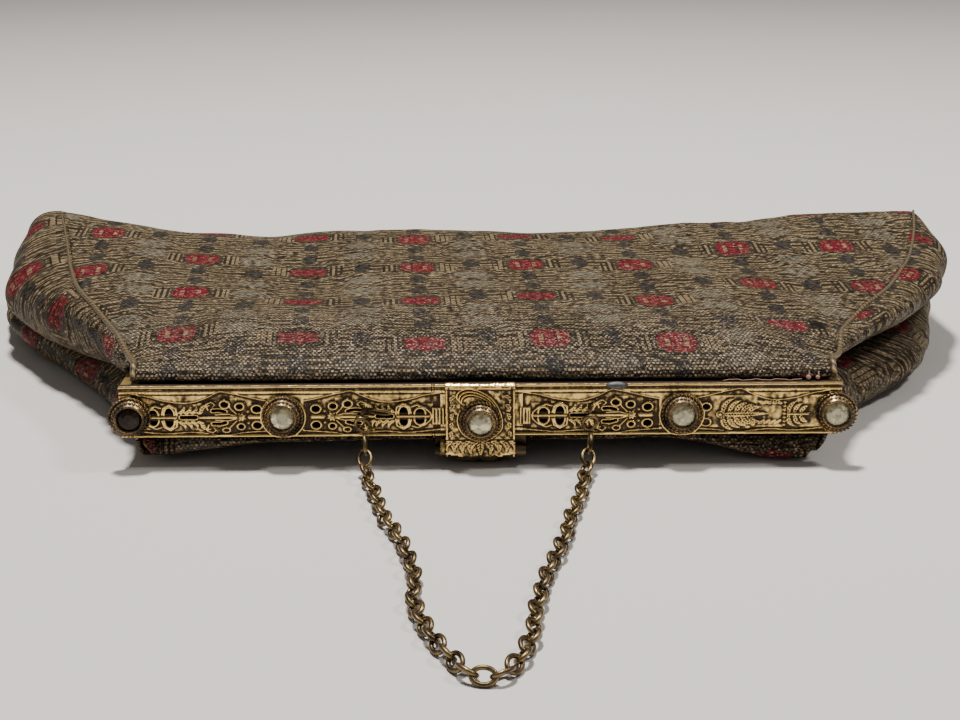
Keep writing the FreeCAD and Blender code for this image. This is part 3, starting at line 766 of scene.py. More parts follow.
def panel_point(across, behind, height):
    """The front panel's surface: across from -1 to 1, and a place on its middle line."""
    edge = np.abs(across)
    reach = behind + edge ** 3 * 5.5 * ease(84, 122, behind)
    seam = np.where(across < 0, seam_place(-1, reach) * -1, seam_place(1, reach))
    x = across * seam
    wall = np.clip((height - 10.9) / (25.3 - 10.9), 0, 1)
    far = ease(62, 118, behind) * wall
    z = height + smooth_line(FAR_ACROSS, FAR_LIFT, x) * far
    z = z - edge ** 6 * smooth_line(SEAM_DROP_BEHIND, SEAM_DROP, behind)
    hollow = np.exp(-((x + 46) / 24) ** 2 - ((behind - 62) / 22) ** 2) * -2.3
    swell = np.exp(-((x + 84) / 16) ** 2 - ((behind - 84) / 26) ** 2) * 1.3
    dip = np.exp(-((x - 84) / 13) ** 2 - ((behind - 52) / 24) ** 2) * -1.4
    settle = ease(4, 14, behind) * ease(10.9, 20, height)
    # pleats that fan out from the frame's ends
    fan = np.sin((x * 0.30 + behind * 0.12) * np.sign(x)) * np.exp(-((edge - 0.86) / 0.16) ** 2)
    fan = fan * np.exp(-((behind - 34) / 26) ** 2) * 0.55
    z = z + (hollow + swell + dip + fan + ripples(x, behind, (14, 44, 0.55), 3)) * settle
    z = z + ripples(x, behind, (5, 11, 0.10), 9) * settle
    return x, reach, z


def panel_grid(columns=220, rows=190):
    stops = np.arange(len(PANEL_BEHIND))
    along = np.linspace(0, len(stops) - 1, rows)
    behind = smooth_line(stops, PANEL_BEHIND, along)
    height = smooth_line(stops, PANEL_HEIGHT, along)
    run = np.concatenate([[0], np.cumsum(np.hypot(np.diff(behind), np.diff(height)))])
    even = np.linspace(0, run[-1], rows)
    behind, height = np.interp(even, run, behind), np.interp(even, run, height)
    across = np.linspace(-1, 1, columns)
    grid_across, grid_behind = np.meshgrid(across, behind)
    _, grid_height = np.meshgrid(across, height)
    _, grid_run = np.meshgrid(across, even)
    return (*panel_point(grid_across, grid_behind, grid_height), grid_run)


def fold_with_frame(piece):
    """Cloth held by the frame: its placement is baked into its mesh."""
    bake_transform(piece)


def make_front_panel():
    x, behind, z, run = panel_grid()
    weave = (x + run * SKEW - 2.8, run - 4.4)
    panel = sheet_object("front_panel_cloth", x, behind, z, BROCADE, CLOTH_THICK, weave)
    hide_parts("front_panel")
    fold_with_frame(panel)
    part = np.s_[26:-4:2, 4:-4:3]
    inner = sheet_object("front_lining_cloth", x[part] * 0.975, behind[part] - 0.5, z[part] - LINING_SUNK,
                         LINING, 0.3,
                         (x[part], run[part]))
    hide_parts("front_lining")
    fold_with_frame(inner)


BACK_STOPS = {
    # the roll below the back channel: at the middle, and at the frame's ends
    "middle": [(3.6, 10.4), (6.0, 10.3), (6.9, 8.9), (6.1, 7.0), (3.6, 6.0), (2.7, 5.2), (4.2, 4.2),
               (10, 2.6), (18, 1.2), (30, 0.5), (64, 0.4), (104, 0.4), (114, 1.0), (120, 4.2),
               (122.2, 8.4), (122.4, 10.6)],
    "ends": [(3.6, 10.4), (6.0, 10.3), (6.6, 8.6), (4.6, 6.3), (1.9, 5.2), (0.3, 3.2), (0.4, 1.3),
             (3.5, 0.5), (10, 0.4), (30, 0.4), (64, 0.4), (104, 0.4), (116, 1.0), (124, 4.2),
             (127.4, 8.4), (127.9, 10.6)],
}


def base_place(side, behind):
    """Half-width of the back panel: out to the bottom seam of a gusset."""
    stops = np.array(GUSSET[side], float)
    return smooth_line(stops[:, 0], stops[:, 7], np.clip(behind, stops[0, 0], stops[-1, 0])) + 0.4


def make_back_panel(columns=160, rows=170):
    middle, ends = (np.array(BACK_STOPS[key], float) for key in ("middle", "ends"))
    stops = np.arange(len(middle))
    along = np.linspace(0, len(stops) - 1, rows)
    across, place = np.meshgrid(np.linspace(-1, 1, columns), along)
    mid_behind, mid_height = (smooth_line(stops, middle[:, k], place) for k in (0, 1))
    end_behind, end_height = (smooth_line(stops, ends[:, k], place) for k in (0, 1))
    near_x = across * 74
    corner = np.where(near_x > 0, ease(40, 68, near_x), ease(44, 72, -near_x) * 0.66)
    corner = np.where(place > 9, np.abs(across) ** 3, corner)
    behind = mid_behind + (end_behind - mid_behind) * corner
    height = mid_height + (end_height - mid_height) * corner
    x = across * np.where(across < 0, base_place(-1, behind), base_place(1, behind))
    # the roll's ends are rounded off towards the table
    x = x - np.sign(x) * np.abs(across) ** 8 * ease(6.0, 1.0, height) * ease(12, 5, behind) * 3.2
    wobble = ripples(x, behind, (8, 26, 0.45), 21) * ease(0, 1, place - 3) * ease(9.4, 7.0, place)
    height = np.maximum(height + wobble * 0.8, 0.05 + CLOTH_THICK)
    run = np.concatenate([np.zeros((1, columns)),
                          np.cumsum(np.hypot(np.diff(behind, axis=0), np.diff(height, axis=0)), axis=0)])
    panel = sheet_object("back_panel_cloth", x, behind, height, BROCADE, CLOTH_THICK,
                         (x + 6, run + 12.5), offset=1.0)
    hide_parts("back_panel")
    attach(panel, "root")
    part = np.s_[96:-16:2, 6:-6:3]
    inner = sheet_object("back_lining_cloth", x[part] * 0.98, behind[part], height[part] + 0.9, LINING, 0.3,
                         (x[part], run[part]))
    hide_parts("back_lining")
    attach(inner, "root")


# Each stop along a gusset: distance behind; the upper roll's reach and height; the fold between the
# rolls; the lower roll's reach and height; the bottom seam.
GUSSET = {
    -1: [(7, 76.4, 20.0, 74.4, 18.8, 76.0, 6.0, 73.6, 1.2),
         (14, 78.4, 20.0, 74.2, 17.4, 77.4, 5.6, 74.2, 1.2),
         (22, 83.0, 18.8, 75.0, 13.0, 82.0, 5.0, 78.4, 0.9),
         (36, 90.8, 17.2, 79.0, 10.4, 88.6, 4.6, 84.0, 0.9),
         (50, 102.5, 16.2, 91.0, 9.2, 97.2, 4.3, 92.0, 0.9),
         (64, 113.6, 15.8, 103.0, 8.6, 108.0, 4.2, 101.0, 0.9),
         (80, 123.2, 16.4, 113.4, 9.0, 120.8, 4.8, 111.0, 0.9),
         (96, 127.0, 19.2, 119.6, 10.8, 129.6, 6.6, 117.0, 0.9),
         (110, 128.0, 23.5, 122.6, 13.6, 133.0, 9.6, 119.0, 1.2),
         (120, 126.8, 25.5, 123.2, 14.6, 132.6, 10.4, 120.0, 2.0),
         (128.5, 121.4, 19.0, 120.6, 13.0, 120.2, 8.5, 119.0, 3.0)],
    1: [(7, 76.8, 20.2, 74.6, 18.8, 76.0, 6.0, 73.6, 1.2),
        (14, 78.8, 20.6, 74.2, 18.0, 76.8, 5.6, 73.8, 1.2),
        (22, 83.6, 21.2, 74.5, 15.6, 82.6, 5.2, 77.6, 0.9),
        (34, 92.6, 21.0, 77.0, 13.6, 93.0, 5.8, 84.5, 0.9),
        (50, 105.2, 20.8, 89.0, 13.4, 107.0, 6.0, 95.0, 0.9),
        (68, 116.4, 20.6, 102.5, 13.4, 115.4, 6.4, 104.0, 0.9),
        (88, 124.2, 20.8, 114.0, 13.6, 121.2, 6.8, 111.0, 0.9),
        (106, 125.6, 20.8, 120.0, 13.8, 124.0, 7.6, 115.5, 1.0),
        (118, 124.8, 20.4, 121.8, 14.2, 124.4, 8.2, 118.0, 1.6),
        (128.5, 123.0, 17.0, 122.6, 13.0, 122.0, 8.5, 120.4, 3.0)],
}
def seam_height(side, behind):
    """Height of the top seam, read from the front panel's own edge."""
    stops = np.arange(len(PANEL_BEHIND))
    place = np.linspace(0, len(stops) - 1, 400)
    middle = smooth_line(stops, PANEL_BEHIND, place)
    height = smooth_line(stops, PANEL_HEIGHT, place)
    top = (place > 5.4) & (place < 16.6)
    _, edge_behind, edge_height = panel_point(np.full(top.sum(), float(side)), middle[top], height[top])
    order = np.argsort(edge_behind)
    return np.interp(behind, edge_behind[order], edge_height[order])


def gusset_points(side, rows=130, columns=72):
    stops = np.array(GUSSET[side], float)
    behind = np.linspace(stops[0, 0], stops[-1, 0], rows)
    up_x, up_z, fold_x, fold_z, low_x, low_z, base_x, base_z = (
        smooth_line(stops[:, 0], stops[:, k], behind)[:, None] for k in range(1, 9))
    # the gusset starts tucked under the panel's edge
    top_x = (side * seam_place(side, behind))[:, None] - 0.5
    top_z = seam_height(side, behind)[:, None] - 0.8
    turn = np.linspace(0, math.pi, columns // 2)[None, :]
    swing, fall = np.sin(turn), (1 - np.cos(turn)) / 2
    share = turn / math.pi
    upper_x = top_x + (fold_x - top_x) * share + (up_x - (top_x + fold_x) / 2) * swing
    upper_z = top_z + (fold_z - top_z) * fall + (up_z - (top_z + fold_z) / 2) * swing * 0.6
    lower_x = fold_x + (base_x - fold_x) * share + (low_x - (fold_x + base_x) / 2) * swing
    lower_z = fold_z + (base_z - fold_z) * fall + (low_z - (fold_z + base_z) / 2) * swing * 0.6
    x = np.concatenate([upper_x, lower_x[:, 1:]], 1)
    z = np.concatenate([upper_z, lower_z[:, 1:]], 1)
    girth = np.concatenate([share, 1 + share[:, 1:]], 1) * 26 + behind[:, None] * 0
    along = behind[:, None] + girth * 0
    roll = np.sin(np.clip(girth / 26 % 1.0, 0, 1) * math.pi)
    # gathers that run down from the top seam, strongest near the frame
    gather = np.sin(along * 1.05 + girth * 0.16) * ease(96, 22, along) * 0.42 * roll
    gather = gather + ripples(along, girth * 1.2, (9, 26, 0.75), 31 + side) * roll
    x = x + gather
    z = np.maximum(z + gather * 0.35, 0.05)
    return side * x, along, z, girth


def make_gusset(side, name):
    x, behind, z, girth = gusset_points(side)
    if side > 0:
        x, behind, z, girth = (a[:, ::-1] for a in (x, behind, z, girth))
    cloth = sheet_object(f"gusset_{name}_cloth", x, behind, z, BROCADE, CLOTH_THICK,
                         (girth + 9 + side * 4, behind * 1.05 + side * 9))
    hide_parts(f"gusset_{name}")
    fold_with_frame(cloth)


PIPING_RADIUS = {-1: [0.70, 0.60, 0.34, 0.26], 1: [0.66, 0.54, 0.42, 0.30]}


def make_piping(side, name):
    """The gold cord sewn along the seam between the front panel and a gusset."""
    behind = np.linspace(1.4, 126.5, 250)
    x = seam_place(side, behind) + side * 0.7
    z = seam_height(side, behind) + 0.1 - 1.4 * ease(4.5, 1.4, behind)
    sides = 12
    radius = np.interp(behind, [2.6, 50, 80, 126.5], PIPING_RADIUS[side])
    points, faces = tube(np.stack([x, behind + FRONT, z], -1), radius, sides)
    cord = mesh_object(f"front_piping_{name}_cord", points, faces, PIPING)
    run = np.concatenate([[0], np.cumsum(np.hypot(np.diff(x), np.diff(behind)))])
    around = np.tile(np.linspace(0, 5.6, sides), len(behind))
    set_weave(cord, around, np.repeat(run, sides))
    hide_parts(f"front_piping_{name}")
    fold_with_frame(cord)


def make_loose_threads():
    """A frayed pink thread along the strip's top edge, and two knots of it at the right end."""
    x = np.linspace(52, 69, 60)
    waves = np.sin(x * 1.3) * 0.12 + np.sin(x * 3.1) * 0.05
    line = np.stack([x, FRONT + 0.7 + waves, strip_high.z + 0.30 + waves * 0.6], -1)
    parts = [tube(line, 0.11, 6)]
    for x, size in ((70.4, 0.58), (72.4, 0.50)):
        knot = np.array([x, FRONT + 0.8, strip_high.z + 0.75])
        parts.append(ball(knot, size, 7, 10))
        parts.append(tube([knot, knot + (0.2, 0.1, 0.7), knot + (0.1, 0.3, 1.2)], (0.26, 0.18, 0.08), 6))
    threads = joined("loose_threads", parts, LOOSE_THREAD)
    places = np.array([v.co for v in threads.data.vertices]) / MM
    set_weave(threads, places[:, 0], places[:, 2])
    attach(threads, "front_frame")


make_front_panel()
make_loose_threads()
make_back_panel()
for side, name in ((-1, "left"), (1, "right")):
    make_gusset(side, name)
    make_piping(side, name)

# ---------------------------------------------------------------- pressed and pierced ornament

def arc(centre, across, up, start, end, count=14):
    """Places along an ellipse's arc, in degrees from the right, anticlockwise."""
    turn = np.radians(np.linspace(start, end, count))
    return np.stack([centre[0] + across * np.cos(turn), centre[1] + up * np.sin(turn)], -1)


class Relief:
    """Pressed ornament: heights in millimetres over a fine grid, and the places that are cut open."""

    def __init__(self, low, high, step):
        self.across = np.arange(low[0], high[0] + step / 2, step)
        self.up = np.arange(low[1], high[1] + step / 2, step)
        self.x, self.z = np.meshgrid(self.across, self.up)
        self.height = np.zeros(self.x.shape)
        self.open = np.zeros(self.x.shape, bool)
        self.step = step

    def window(self, points, reach):
        low, high = np.min(points, 0) - reach, np.max(points, 0) + reach
        rows = slice(*np.searchsorted(self.up, (low[1], high[1])))
        return rows, slice(*np.searchsorted(self.across, (low[0], high[0])))

    def gap_to(self, line, part):
        """Distance to a line, and the share of the line passed at its nearest place."""
        x, z = self.x[part], self.z[part]
        best, share = np.full(x.shape, np.inf), np.zeros(x.shape)
        for i, (a, b) in enumerate(zip(line[:-1], line[1:])):
            run = b - a
            t = np.clip(((x - a[0]) * run[0] + (z - a[1]) * run[1]) / max(run @ run, 1e-9), 0, 1)
            gap = np.hypot(x - a[0] - t * run[0], z - a[1] - t * run[1])
            share = np.where(gap < best, (i + t) / (len(line) - 1), share)
            best = np.minimum(gap, best)
        return best, share

    def raise_to(self, part, height):
        self.height[part] = np.maximum(self.height[part], height)

    def ridge(self, line, half, height, taper=1.0):
        """A rounded raised line that narrows to a share of its width."""
        line = np.asarray(line, float)
        part = self.window(line, half)
        gap, share = self.gap_to(line, part)
        wide = half * (1 + (taper - 1) * share)
        self.raise_to(part, height * np.sqrt(np.clip(1 - (gap / wide) ** 2, 0, 1)))

    def groove(self, line, half, depth):
        line = np.asarray(line, float)
        part = self.window(line, half)
        gap, _ = self.gap_to(line, part)
        self.height[part] -= depth * np.clip(1 - (gap / half) ** 2, 0, 1)

    def leaf(self, base, tip, half, height, bend=0.0):
        """A raised leaf with side veins and a sunk midrib; bend bows it to its left."""
        base, tip = np.asarray(base, float), np.asarray(tip, float)
        run = tip - base
        t = np.linspace(0, 1, 10)[:, None]
        line = base + run * t + np.array([-run[1], run[0]]) * bend * 4 * t * (1 - t)
        part = self.window(line, half)
        gap, share = self.gap_to(line, part)
        wide = half * np.sin(math.pi * np.clip(share * 0.93 + 0.05, 0, 1) ** 0.75) + 0.02
        body = np.sqrt(np.clip(1 - (gap / wide) ** 2, 0, 1))
        length = np.linalg.norm(run)
        veins = 0.80 + 0.20 * np.cos((share * length - gap * 0.8) * 2 * math.pi / 0.62)
        rib = 1 - 0.45 * np.exp(-(gap / 0.11) ** 2)
        self.raise_to(part, height * body * veins * rib)

    def dome(self, centre, radius, height):
        part = self.window([centre], radius)
        gap = np.hypot(self.x[part] - centre[0], self.z[part] - centre[1])
        self.raise_to(part, height * np.sqrt(np.clip(1 - (gap / radius) ** 2, 0, 1)))

    def pierce(self, line, half):
        """Cut the plate open along a line, with a raised and rubbed edge."""
        line = np.asarray(line, float)
        part = self.window(line, half + 0.4)
        gap, _ = self.gap_to(line, part)
        self.raise_to(part, 0.26 * np.exp(-((gap - half) / 0.16) ** 2))
        self.open[part] |= gap < half

    def window_in_d(self, middle, half, rise):
        """A D-shaped window lying on its flat side, with a thick rolled rim."""
        flat = [(middle[0] - half, middle[1]), (middle[0] + half, middle[1])]
        bow = arc(middle, half, rise, 0, 180, 16)
        self.ridge(bow, 0.30, 0.50)
        part = self.window([*flat, (middle[0], middle[1] + rise)], 0.1)
        out = np.hypot((self.x[part] - middle[0]) / (half - 0.16),
                       (self.z[part] - middle[1]) / (rise * 0.90))
        above = (self.z[part] - middle[1]) * np.sign(rise) > 0.12
        self.open[part] |= (out < 1) & above

    def loop(self, centre, across, up, hole=True):
        """A scrolled eye: a raised oval ring, cut open or sunk inside."""
        self.ridge(arc(centre, across, up, 0, 360, 20), 0.24, 0.42)
        part = self.window([centre], max(across, up))
        inside = np.hypot((self.x[part] - centre[0]) / (across - 0.14),
                          (self.z[part] - centre[1]) / (up - 0.14))
        if hole:
            self.open[part] |= inside < 1
        else:
            self.height[part] = np.where(inside < 1, self.height[part] * 0.3 - 0.12, self.height[part])

    def patina(self):
        """How clean the metal is: rubbed bright where it stands above what is round it."""
        around = self.height
        for _ in range(3):
            for axis in (0, 1):
                around = (np.roll(around, 2, axis) + np.roll(around, 1, axis) + around
                          + np.roll(around, -1, axis) + np.roll(around, -2, axis)) / 5
        edge = np.gradient(self.height, self.step)
        steep = np.hypot(*edge)
        clean = 0.60 + (self.height - around) * 5.0 + self.height * 0.30 - steep * 0.10
        return np.clip(clean, 0, 1)

    def plate(self, name, material, front, back):
        """The closed plate: its front face carries the heights, towards -Y, and its back is flat."""
        rows, columns = self.x.shape
        faces = np.array(grid_faces(rows, columns))
        faces = faces[~self.open.ravel()[faces].all(axis=1)]
        count = rows * columns
        sides = np.stack([faces, np.roll(faces, -1, 1)], -1).reshape(-1, 2)
        keys = np.sort(sides, 1) @ (count, 1)
        _, where, times = np.unique(keys, return_index=True, return_counts=True)
        rim = sides[where[times == 1]]
        walls = np.stack([rim[:, 1], rim[:, 0], rim[:, 0] + count, rim[:, 1] + count], 1)
        every = np.concatenate([faces, faces[:, ::-1] + count, walls])
        face_y = front - self.height
        points = np.concatenate([
            np.stack([self.x, face_y, self.z], -1).reshape(-1, 3),
            np.stack([self.x, np.full_like(self.x, back), self.z], -1).reshape(-1, 3)])
        clean = np.concatenate([self.patina().ravel(), np.zeros(count)])
        used, every = np.unique(every, return_inverse=True)
        obj = mesh_object(name, points[used], every.reshape(-1, 4).tolist(), material)
        layer = obj.data.attributes.new("patina", "FLOAT", "POINT")
        layer.data.foreach_set("value", clean[used])
        return obj


STRIP_STEP = 0.15
AXIS = strip_low.z + 4.6
HUBS = ((-51.6, -1), (-31.9, 1), (32.5, -1))
LEAF_HUB = 51.6
BORDER_STOPS = [-6, -3.6, 0, 2.2, 4.4, 6.4, 10.4, 16.4, 20, 23]
BORDER_ABOVE = [3.6, 4.1, 5.0, 5.5, 5.8, 4.8, 3.4, 3.8, 4.8, 5.2]
BORDER_BELOW = [-3.1, -3.3, -3.6, -3.9, -4.0, -3.8, -3.4, -3.7, -3.4, -3.0]


def banded_ground(relief):
    """Rims and ruled bands along both edges of the strip, with a fine rope in each."""
    up = relief.z
    top, bottom = strip_high.z - up, up - strip_low.z
    rim = np.maximum(np.clip(1 - (top - 0.32) ** 2 / 0.13, 0, 1),
                     np.clip(1 - (bottom - 0.36) ** 2 / 0.13, 0, 1))
    relief.height += 0.20 + 0.30 * rim
    rope = 0.5 + 0.5 * np.sin((relief.x + up * 0.8) * 2 * math.pi / 0.72)
    for depth, where in ((0.20, top), (0.16, bottom)):
        relief.height += 0.10 * rope * np.exp(-((where - 1.55) / 0.22) ** 2)
        for line in (0.82, 1.12, 2.05):
            relief.height -= depth * np.exp(-((where - line) / 0.11) ** 2)


def sunk_field(relief, hub, way):
    """The darker field inside the wavy border, with the border's double line."""
    u = (relief.x - hub) * way
    v = relief.z - AXIS
    above = smooth_line(BORDER_STOPS, BORDER_ABOVE, u)
    below = smooth_line(BORDER_STOPS, BORDER_BELOW, u)
    inside = (u > -6.0) & (u < 23.4)
    sunk = ease(0.05, -0.25, v - above) * ease(-0.05, 0.25, v - below)
    relief.height = np.where(inside, relief.height * (1 - sunk * 0.95) - 0.10 * sunk, relief.height)
    for edge in (above, below):
        crest = 0.34 * np.exp(-((v - edge) / 0.13) ** 2)
        trough = 0.42 * np.exp(-((v - edge + 0.02) / 0.42) ** 2) * 0.4
        relief.height += np.where(inside, crest - trough, 0)


def pierced_run(relief, hub, way):
    """One run of pierced ornament: a flower hub, scrolls, a bar, a slot and D-shaped windows."""
    def at(u, v):
        return np.array([hub + way * u, AXIS + v])

    def path(*stops):
        return [at(u, v) for u, v in stops]

    sunk_field(relief, hub, way)
    for side in (1, -1):
        relief.pierce(path((3.3, side * 1.25), (4.6, side * 1.55), (6.0, side * 1.5)), 0.42)
        relief.window_in_d(at(15.4, side * 0.62), 1.15, side * 1.75)
        relief.window_in_d(at(18.9, side * 0.60), 1.20, side * 1.35)
        relief.ridge(path((13.7, side * 0.5), (13.9, side * 2.1), (15.3, side * 2.9), (16.6, side * 2.2),
                          (17.0, side * 0.7)), 0.26, 0.44)
        relief.ridge(path((17.2, side * 2.2), (18.3, side * 2.6), (20.0, side * 1.9), (21.2, side * 0.8),
                          (21.4, 0)), 0.24, 0.42)
        for k in range(4):
            relief.leaf(at(13.4 - k * 1.35, side), at(12.1 - k * 1.35, side * (2.7 - 0.1 * k)), 0.50, 0.42,
                        bend=side * way * 0.22)
        relief.leaf(at(8.6, side * 0.9), at(6.4, side * 2.7), 0.55, 0.46, bend=-side * way * 0.25)
        relief.ridge(path((7.0, side * 1.7), (7.4, side * 3.0), (6.2, side * 3.5), (5.4, side * 2.9),
                          (5.9, side * 2.4)), 0.22, 0.44, 0.6)
        relief.ridge(path((0.9, side * 0.8), (2.0, side * 1.9), (3.4, side * 4.2 if side > 0 else -3.4)),
                     0.19, 0.46)
        relief.ridge(path((1.0, side * 0.35), (2.6, side * 0.75), (5.4, side * 0.62)), 0.17, 0.40)
        relief.loop(at(-3.5, side * 1.85), 1.10, 0.92)
    relief.loop(at(0.2, 2.45), 0.95, 0.80)
    relief.loop(at(3.35, 2.95), 1.05, 0.86)
    relief.loop(at(0.0, -2.10), 0.82, 0.70)
    relief.loop(at(3.2, -2.9), 0.80, 0.50, hole=False)
    relief.ridge(path((1.0, 0), (2.4, 0), (8.7, 0)), 0.36, 0.50)
    relief.groove(path((1.6, 0), (8.2, 0)), 0.10, 0.22)
    relief.pierce(path((9.7, 0), (12.8, 0)), 0.50)
    relief.ridge(path((14.0, 0), (20.8, 0)), 0.34, 0.48)
    for turn in range(8):
        angle = math.radians(turn * 45 + 22)
        relief.leaf(at(0.25 * math.cos(angle), 0.25 * math.sin(angle)),
                    at(1.15 * math.cos(angle), 1.05 * math.sin(angle)), 0.28, 0.50)
    relief.dome(at(0, 0), 0.42, 0.62)
    relief.ridge(path((-2.0, 0), (-4.3, 0)), 0.55, 0.46)
    relief.dome(at(-1.6, 1.3), 0.34, 0.44)
    relief.dome(at(-1.6, -1.3), 0.34, 0.44)


def lined_box(relief, low, high):
    """The small ruled panel beside the clasp."""
    part = relief.window([(low, AXIS - 1.9), (high, AXIS + 1.9)], 0)
    relief.height[part] = 0.30 + 0.10 * np.cos((relief.x[part] - low) * 2 * math.pi / 0.74)
    for edge in (low, high):
        relief.ridge([(edge, AXIS - 1.9), (edge, AXIS + 1.9)], 0.16, 0.46)


def leaf_run(relief):
    """The last run, not pierced: an acanthus leaf, a row of beads, then fanned leaves on a stem."""
    hub = LEAF_HUB
    sunk_field(relief, hub, 1)
    part = relief.window([(hub - 5, AXIS - 3), (hub + 23, AXIS + 4.4)], 0)
    relief.height[part] = np.maximum(relief.height[part], 0.06)
    for side in (1, -1):
        relief.loop((hub - 3.0, AXIS + side * 1.75), 1.05, 0.85, hole=side > 0)
        for k in range(5):
            relief.leaf((hub + 0.6 + k * 1.35, AXIS + side * 0.25),
                        (hub + 3.0 + k * 1.45, AXIS + side * (3.6 - k * 0.52)), 0.72, 0.56, bend=side * 0.20)
        for k in range(4):
            relief.leaf((hub + 13.2 - k * 1.2, AXIS + side * 1.4 + (1.0 if side > 0 else 0)),
                        (hub + 11.6 - k * 1.2, AXIS + side * 2.6 + (0.5 if side > 0 else 0.2)), 0.42, 0.40)
        for k in range(3):
            relief.leaf((hub + 14.8 + k * 1.3, AXIS + side * 0.25),
                        (hub + 16.4 + k * 1.35, AXIS + side * (2.9 - k * 0.55)), 0.62, 0.50,
                        bend=side * 0.20)
    relief.leaf((hub + 0.4, AXIS), (hub + 10.6, AXIS + 0.1), 0.85, 0.62)
    relief.dome((hub + 7.2, AXIS - 2.3), 0.55, 0.50)
    for k in range(7):
        relief.dome((hub + 13.9, AXIS + 2.7 - k * 0.86), 0.40, 0.52)
    relief.ridge([(hub + 14.6, AXIS), (hub + 19.0, AXIS)], 0.34, 0.50)
    relief.dome((hub, AXIS), 0.85, 0.55)
    relief.groove(arc((hub, AXIS), 0.5, 0.5, 0, 360), 0.14, 0.25)


def ring_round(relief, x, radius):
    """A plain ring and a groove pressed round a setting."""
    relief.ridge(arc((x, AXIS), radius, radius, 0, 360, 40), 0.26, 0.46)
    relief.groove(arc((x, AXIS), radius - 0.42, radius - 0.42, 0, 360, 40), 0.22, 0.24)


def make_strip():
    relief = Relief((strip_low.x, strip_low.z), (strip_high.x, strip_high.z), STRIP_STEP)
    banded_ground(relief)
    for hub, way in HUBS:
        pierced_run(relief, hub, way)
    leaf_run(relief)
    lined_box(relief, -10.2, -7.9)
    lined_box(relief, 8.6, 10.6)
    for x in (-42.5, 43.4):
        ring_round(relief, x, 4.75)
    for x in (-10.4, -9.9):
        relief.groove([(x, strip_high.z - 1.6), (x, strip_high.z)], 0.15, 0.3)
        relief.groove([(x, strip_low.z), (x, strip_low.z + 1.0)], 0.15, 0.3)
    relief.height += ripples(relief.x, relief.z, (0.7, 2.2, 0.045), 5)
    relief.height = np.clip(relief.height, -0.2, 0.62)
    strip = relief.plate("filigree_plate", GILT, FRONT, strip_high.y)
    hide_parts("filigree_strip")
    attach(strip, "front_frame")


CLASP_SCROLL = [(-4.2, 15.3), (-5.0, 16.3), (-4.6, 17.5), (-3.3, 18.2), (-1.7, 18.2), (0.5, 17.4),
                (2.8, 15.6), (4.3, 12.6), (4.6, 9.4), (2.9, 7.3)]


def make_clasp():
    """The clasp's stepped square plate, with a large C-scroll over its setting and a leafy skirt."""
    low, high = [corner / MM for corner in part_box("clasp_plate")]
    face = FRONT - 2.0
    relief = Relief((low.x, low.z), (high.x, high.z), 0.11)
    step = strip_low.z - 0.2
    x, z = relief.x, relief.z
    inside = np.minimum(high.x - np.abs(x), high.z - z)
    rim = 0.16 + 0.26 * np.exp(-((inside - 0.3) / 0.22) ** 2)
    relief.height += rim - 0.16 * np.exp(-((inside - 0.85) / 0.2) ** 2)
    relief.height += 0.55 * np.clip(1 - ((high.z - z - 0.75) / 0.75) ** 2, 0, 1)
    relief.height -= 0.45 * ease(step + 0.15, step - 0.15, z)
    for side in (1, -1):
        for k in range(5):
            relief.leaf((side * (5.2 + 0.25 * k), 16.6 - k * 2.0),
                        (side * (6.3 - 0.2 * k), 15.0 - k * 2.0), 0.55, 0.5,
                        bend=side * 0.25)
        for k in range(4):
            relief.leaf((side * (0.5 + k * 1.9), step - 0.4),
                        (side * (1.9 + k * 1.75), step - 3.6 + 0.3 * k), 0.75, 0.36,
                        bend=side * 0.3)
    stops = np.arange(len(CLASP_SCROLL))
    places = np.linspace(0, stops[-1], 40)
    scroll = np.stack([smooth_line(stops, line, places) for line in zip(*CLASP_SCROLL)], -1)
    middle = np.array([0, centre_of("bezel_clasp").z])
    for share, height in ((1.0, 0.58), (0.90, 0.50), (0.80, 0.42)):
        relief.ridge(middle + (scroll - middle) * share, 0.26, height)
        relief.groove(middle + (scroll - middle) * (share - 0.05), 0.14, 0.25)
    relief.ridge(arc(middle, 4.9, 4.7, 150, 330, 30), 0.24, 0.45)
    relief.leaf((0, step - 0.2), (0, step - 3.9), 0.8, 0.4)
    relief.height += ripples(x, z, (0.6, 2.0, 0.08), 8)
    scallop = low.z + 0.35 + 0.28 * np.cos(x * 2 * math.pi / 3.0)
    relief.open |= z < scallop
    plate = relief.plate("clasp_relief", GILT, face, face + 0.8)
    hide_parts("clasp_plate")
    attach(plate, "clasp")
    knuckle, faces = tube([(-4.4, face + 1.2, 3.6), (4.4, face + 1.2, 3.6)], 1.15, 20)
    barrel = mesh_object("clasp_knuckle", knuckle, faces, GILT_PLAIN)
    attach(barrel, "clasp")
    sleeve, faces = tube([(-8.7, face + 1.2, 4.5), (-7.7, face + 1.2, 4.5)], 1.7, 20)
    collar = mesh_object("bracket_sleeve", sleeve, faces, GILT_PLAIN)
    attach(collar, "root")


make_strip()
make_clasp()

# ---------------------------------------------------------------- settings and stones

SETTING_PROFILE = [(4.05, 0.0), (4.35, 0.15), (4.38, 0.75), (4.1, 1.05), (3.85, 1.1), (3.8, 1.75),
                   (3.55, 2.0), (3.35, 2.15), (3.2, 2.75), (2.95, 2.95), (2.72, 2.85), (2.66, 2.3),
                   (2.5, 1.9), (0.2, 1.9)]


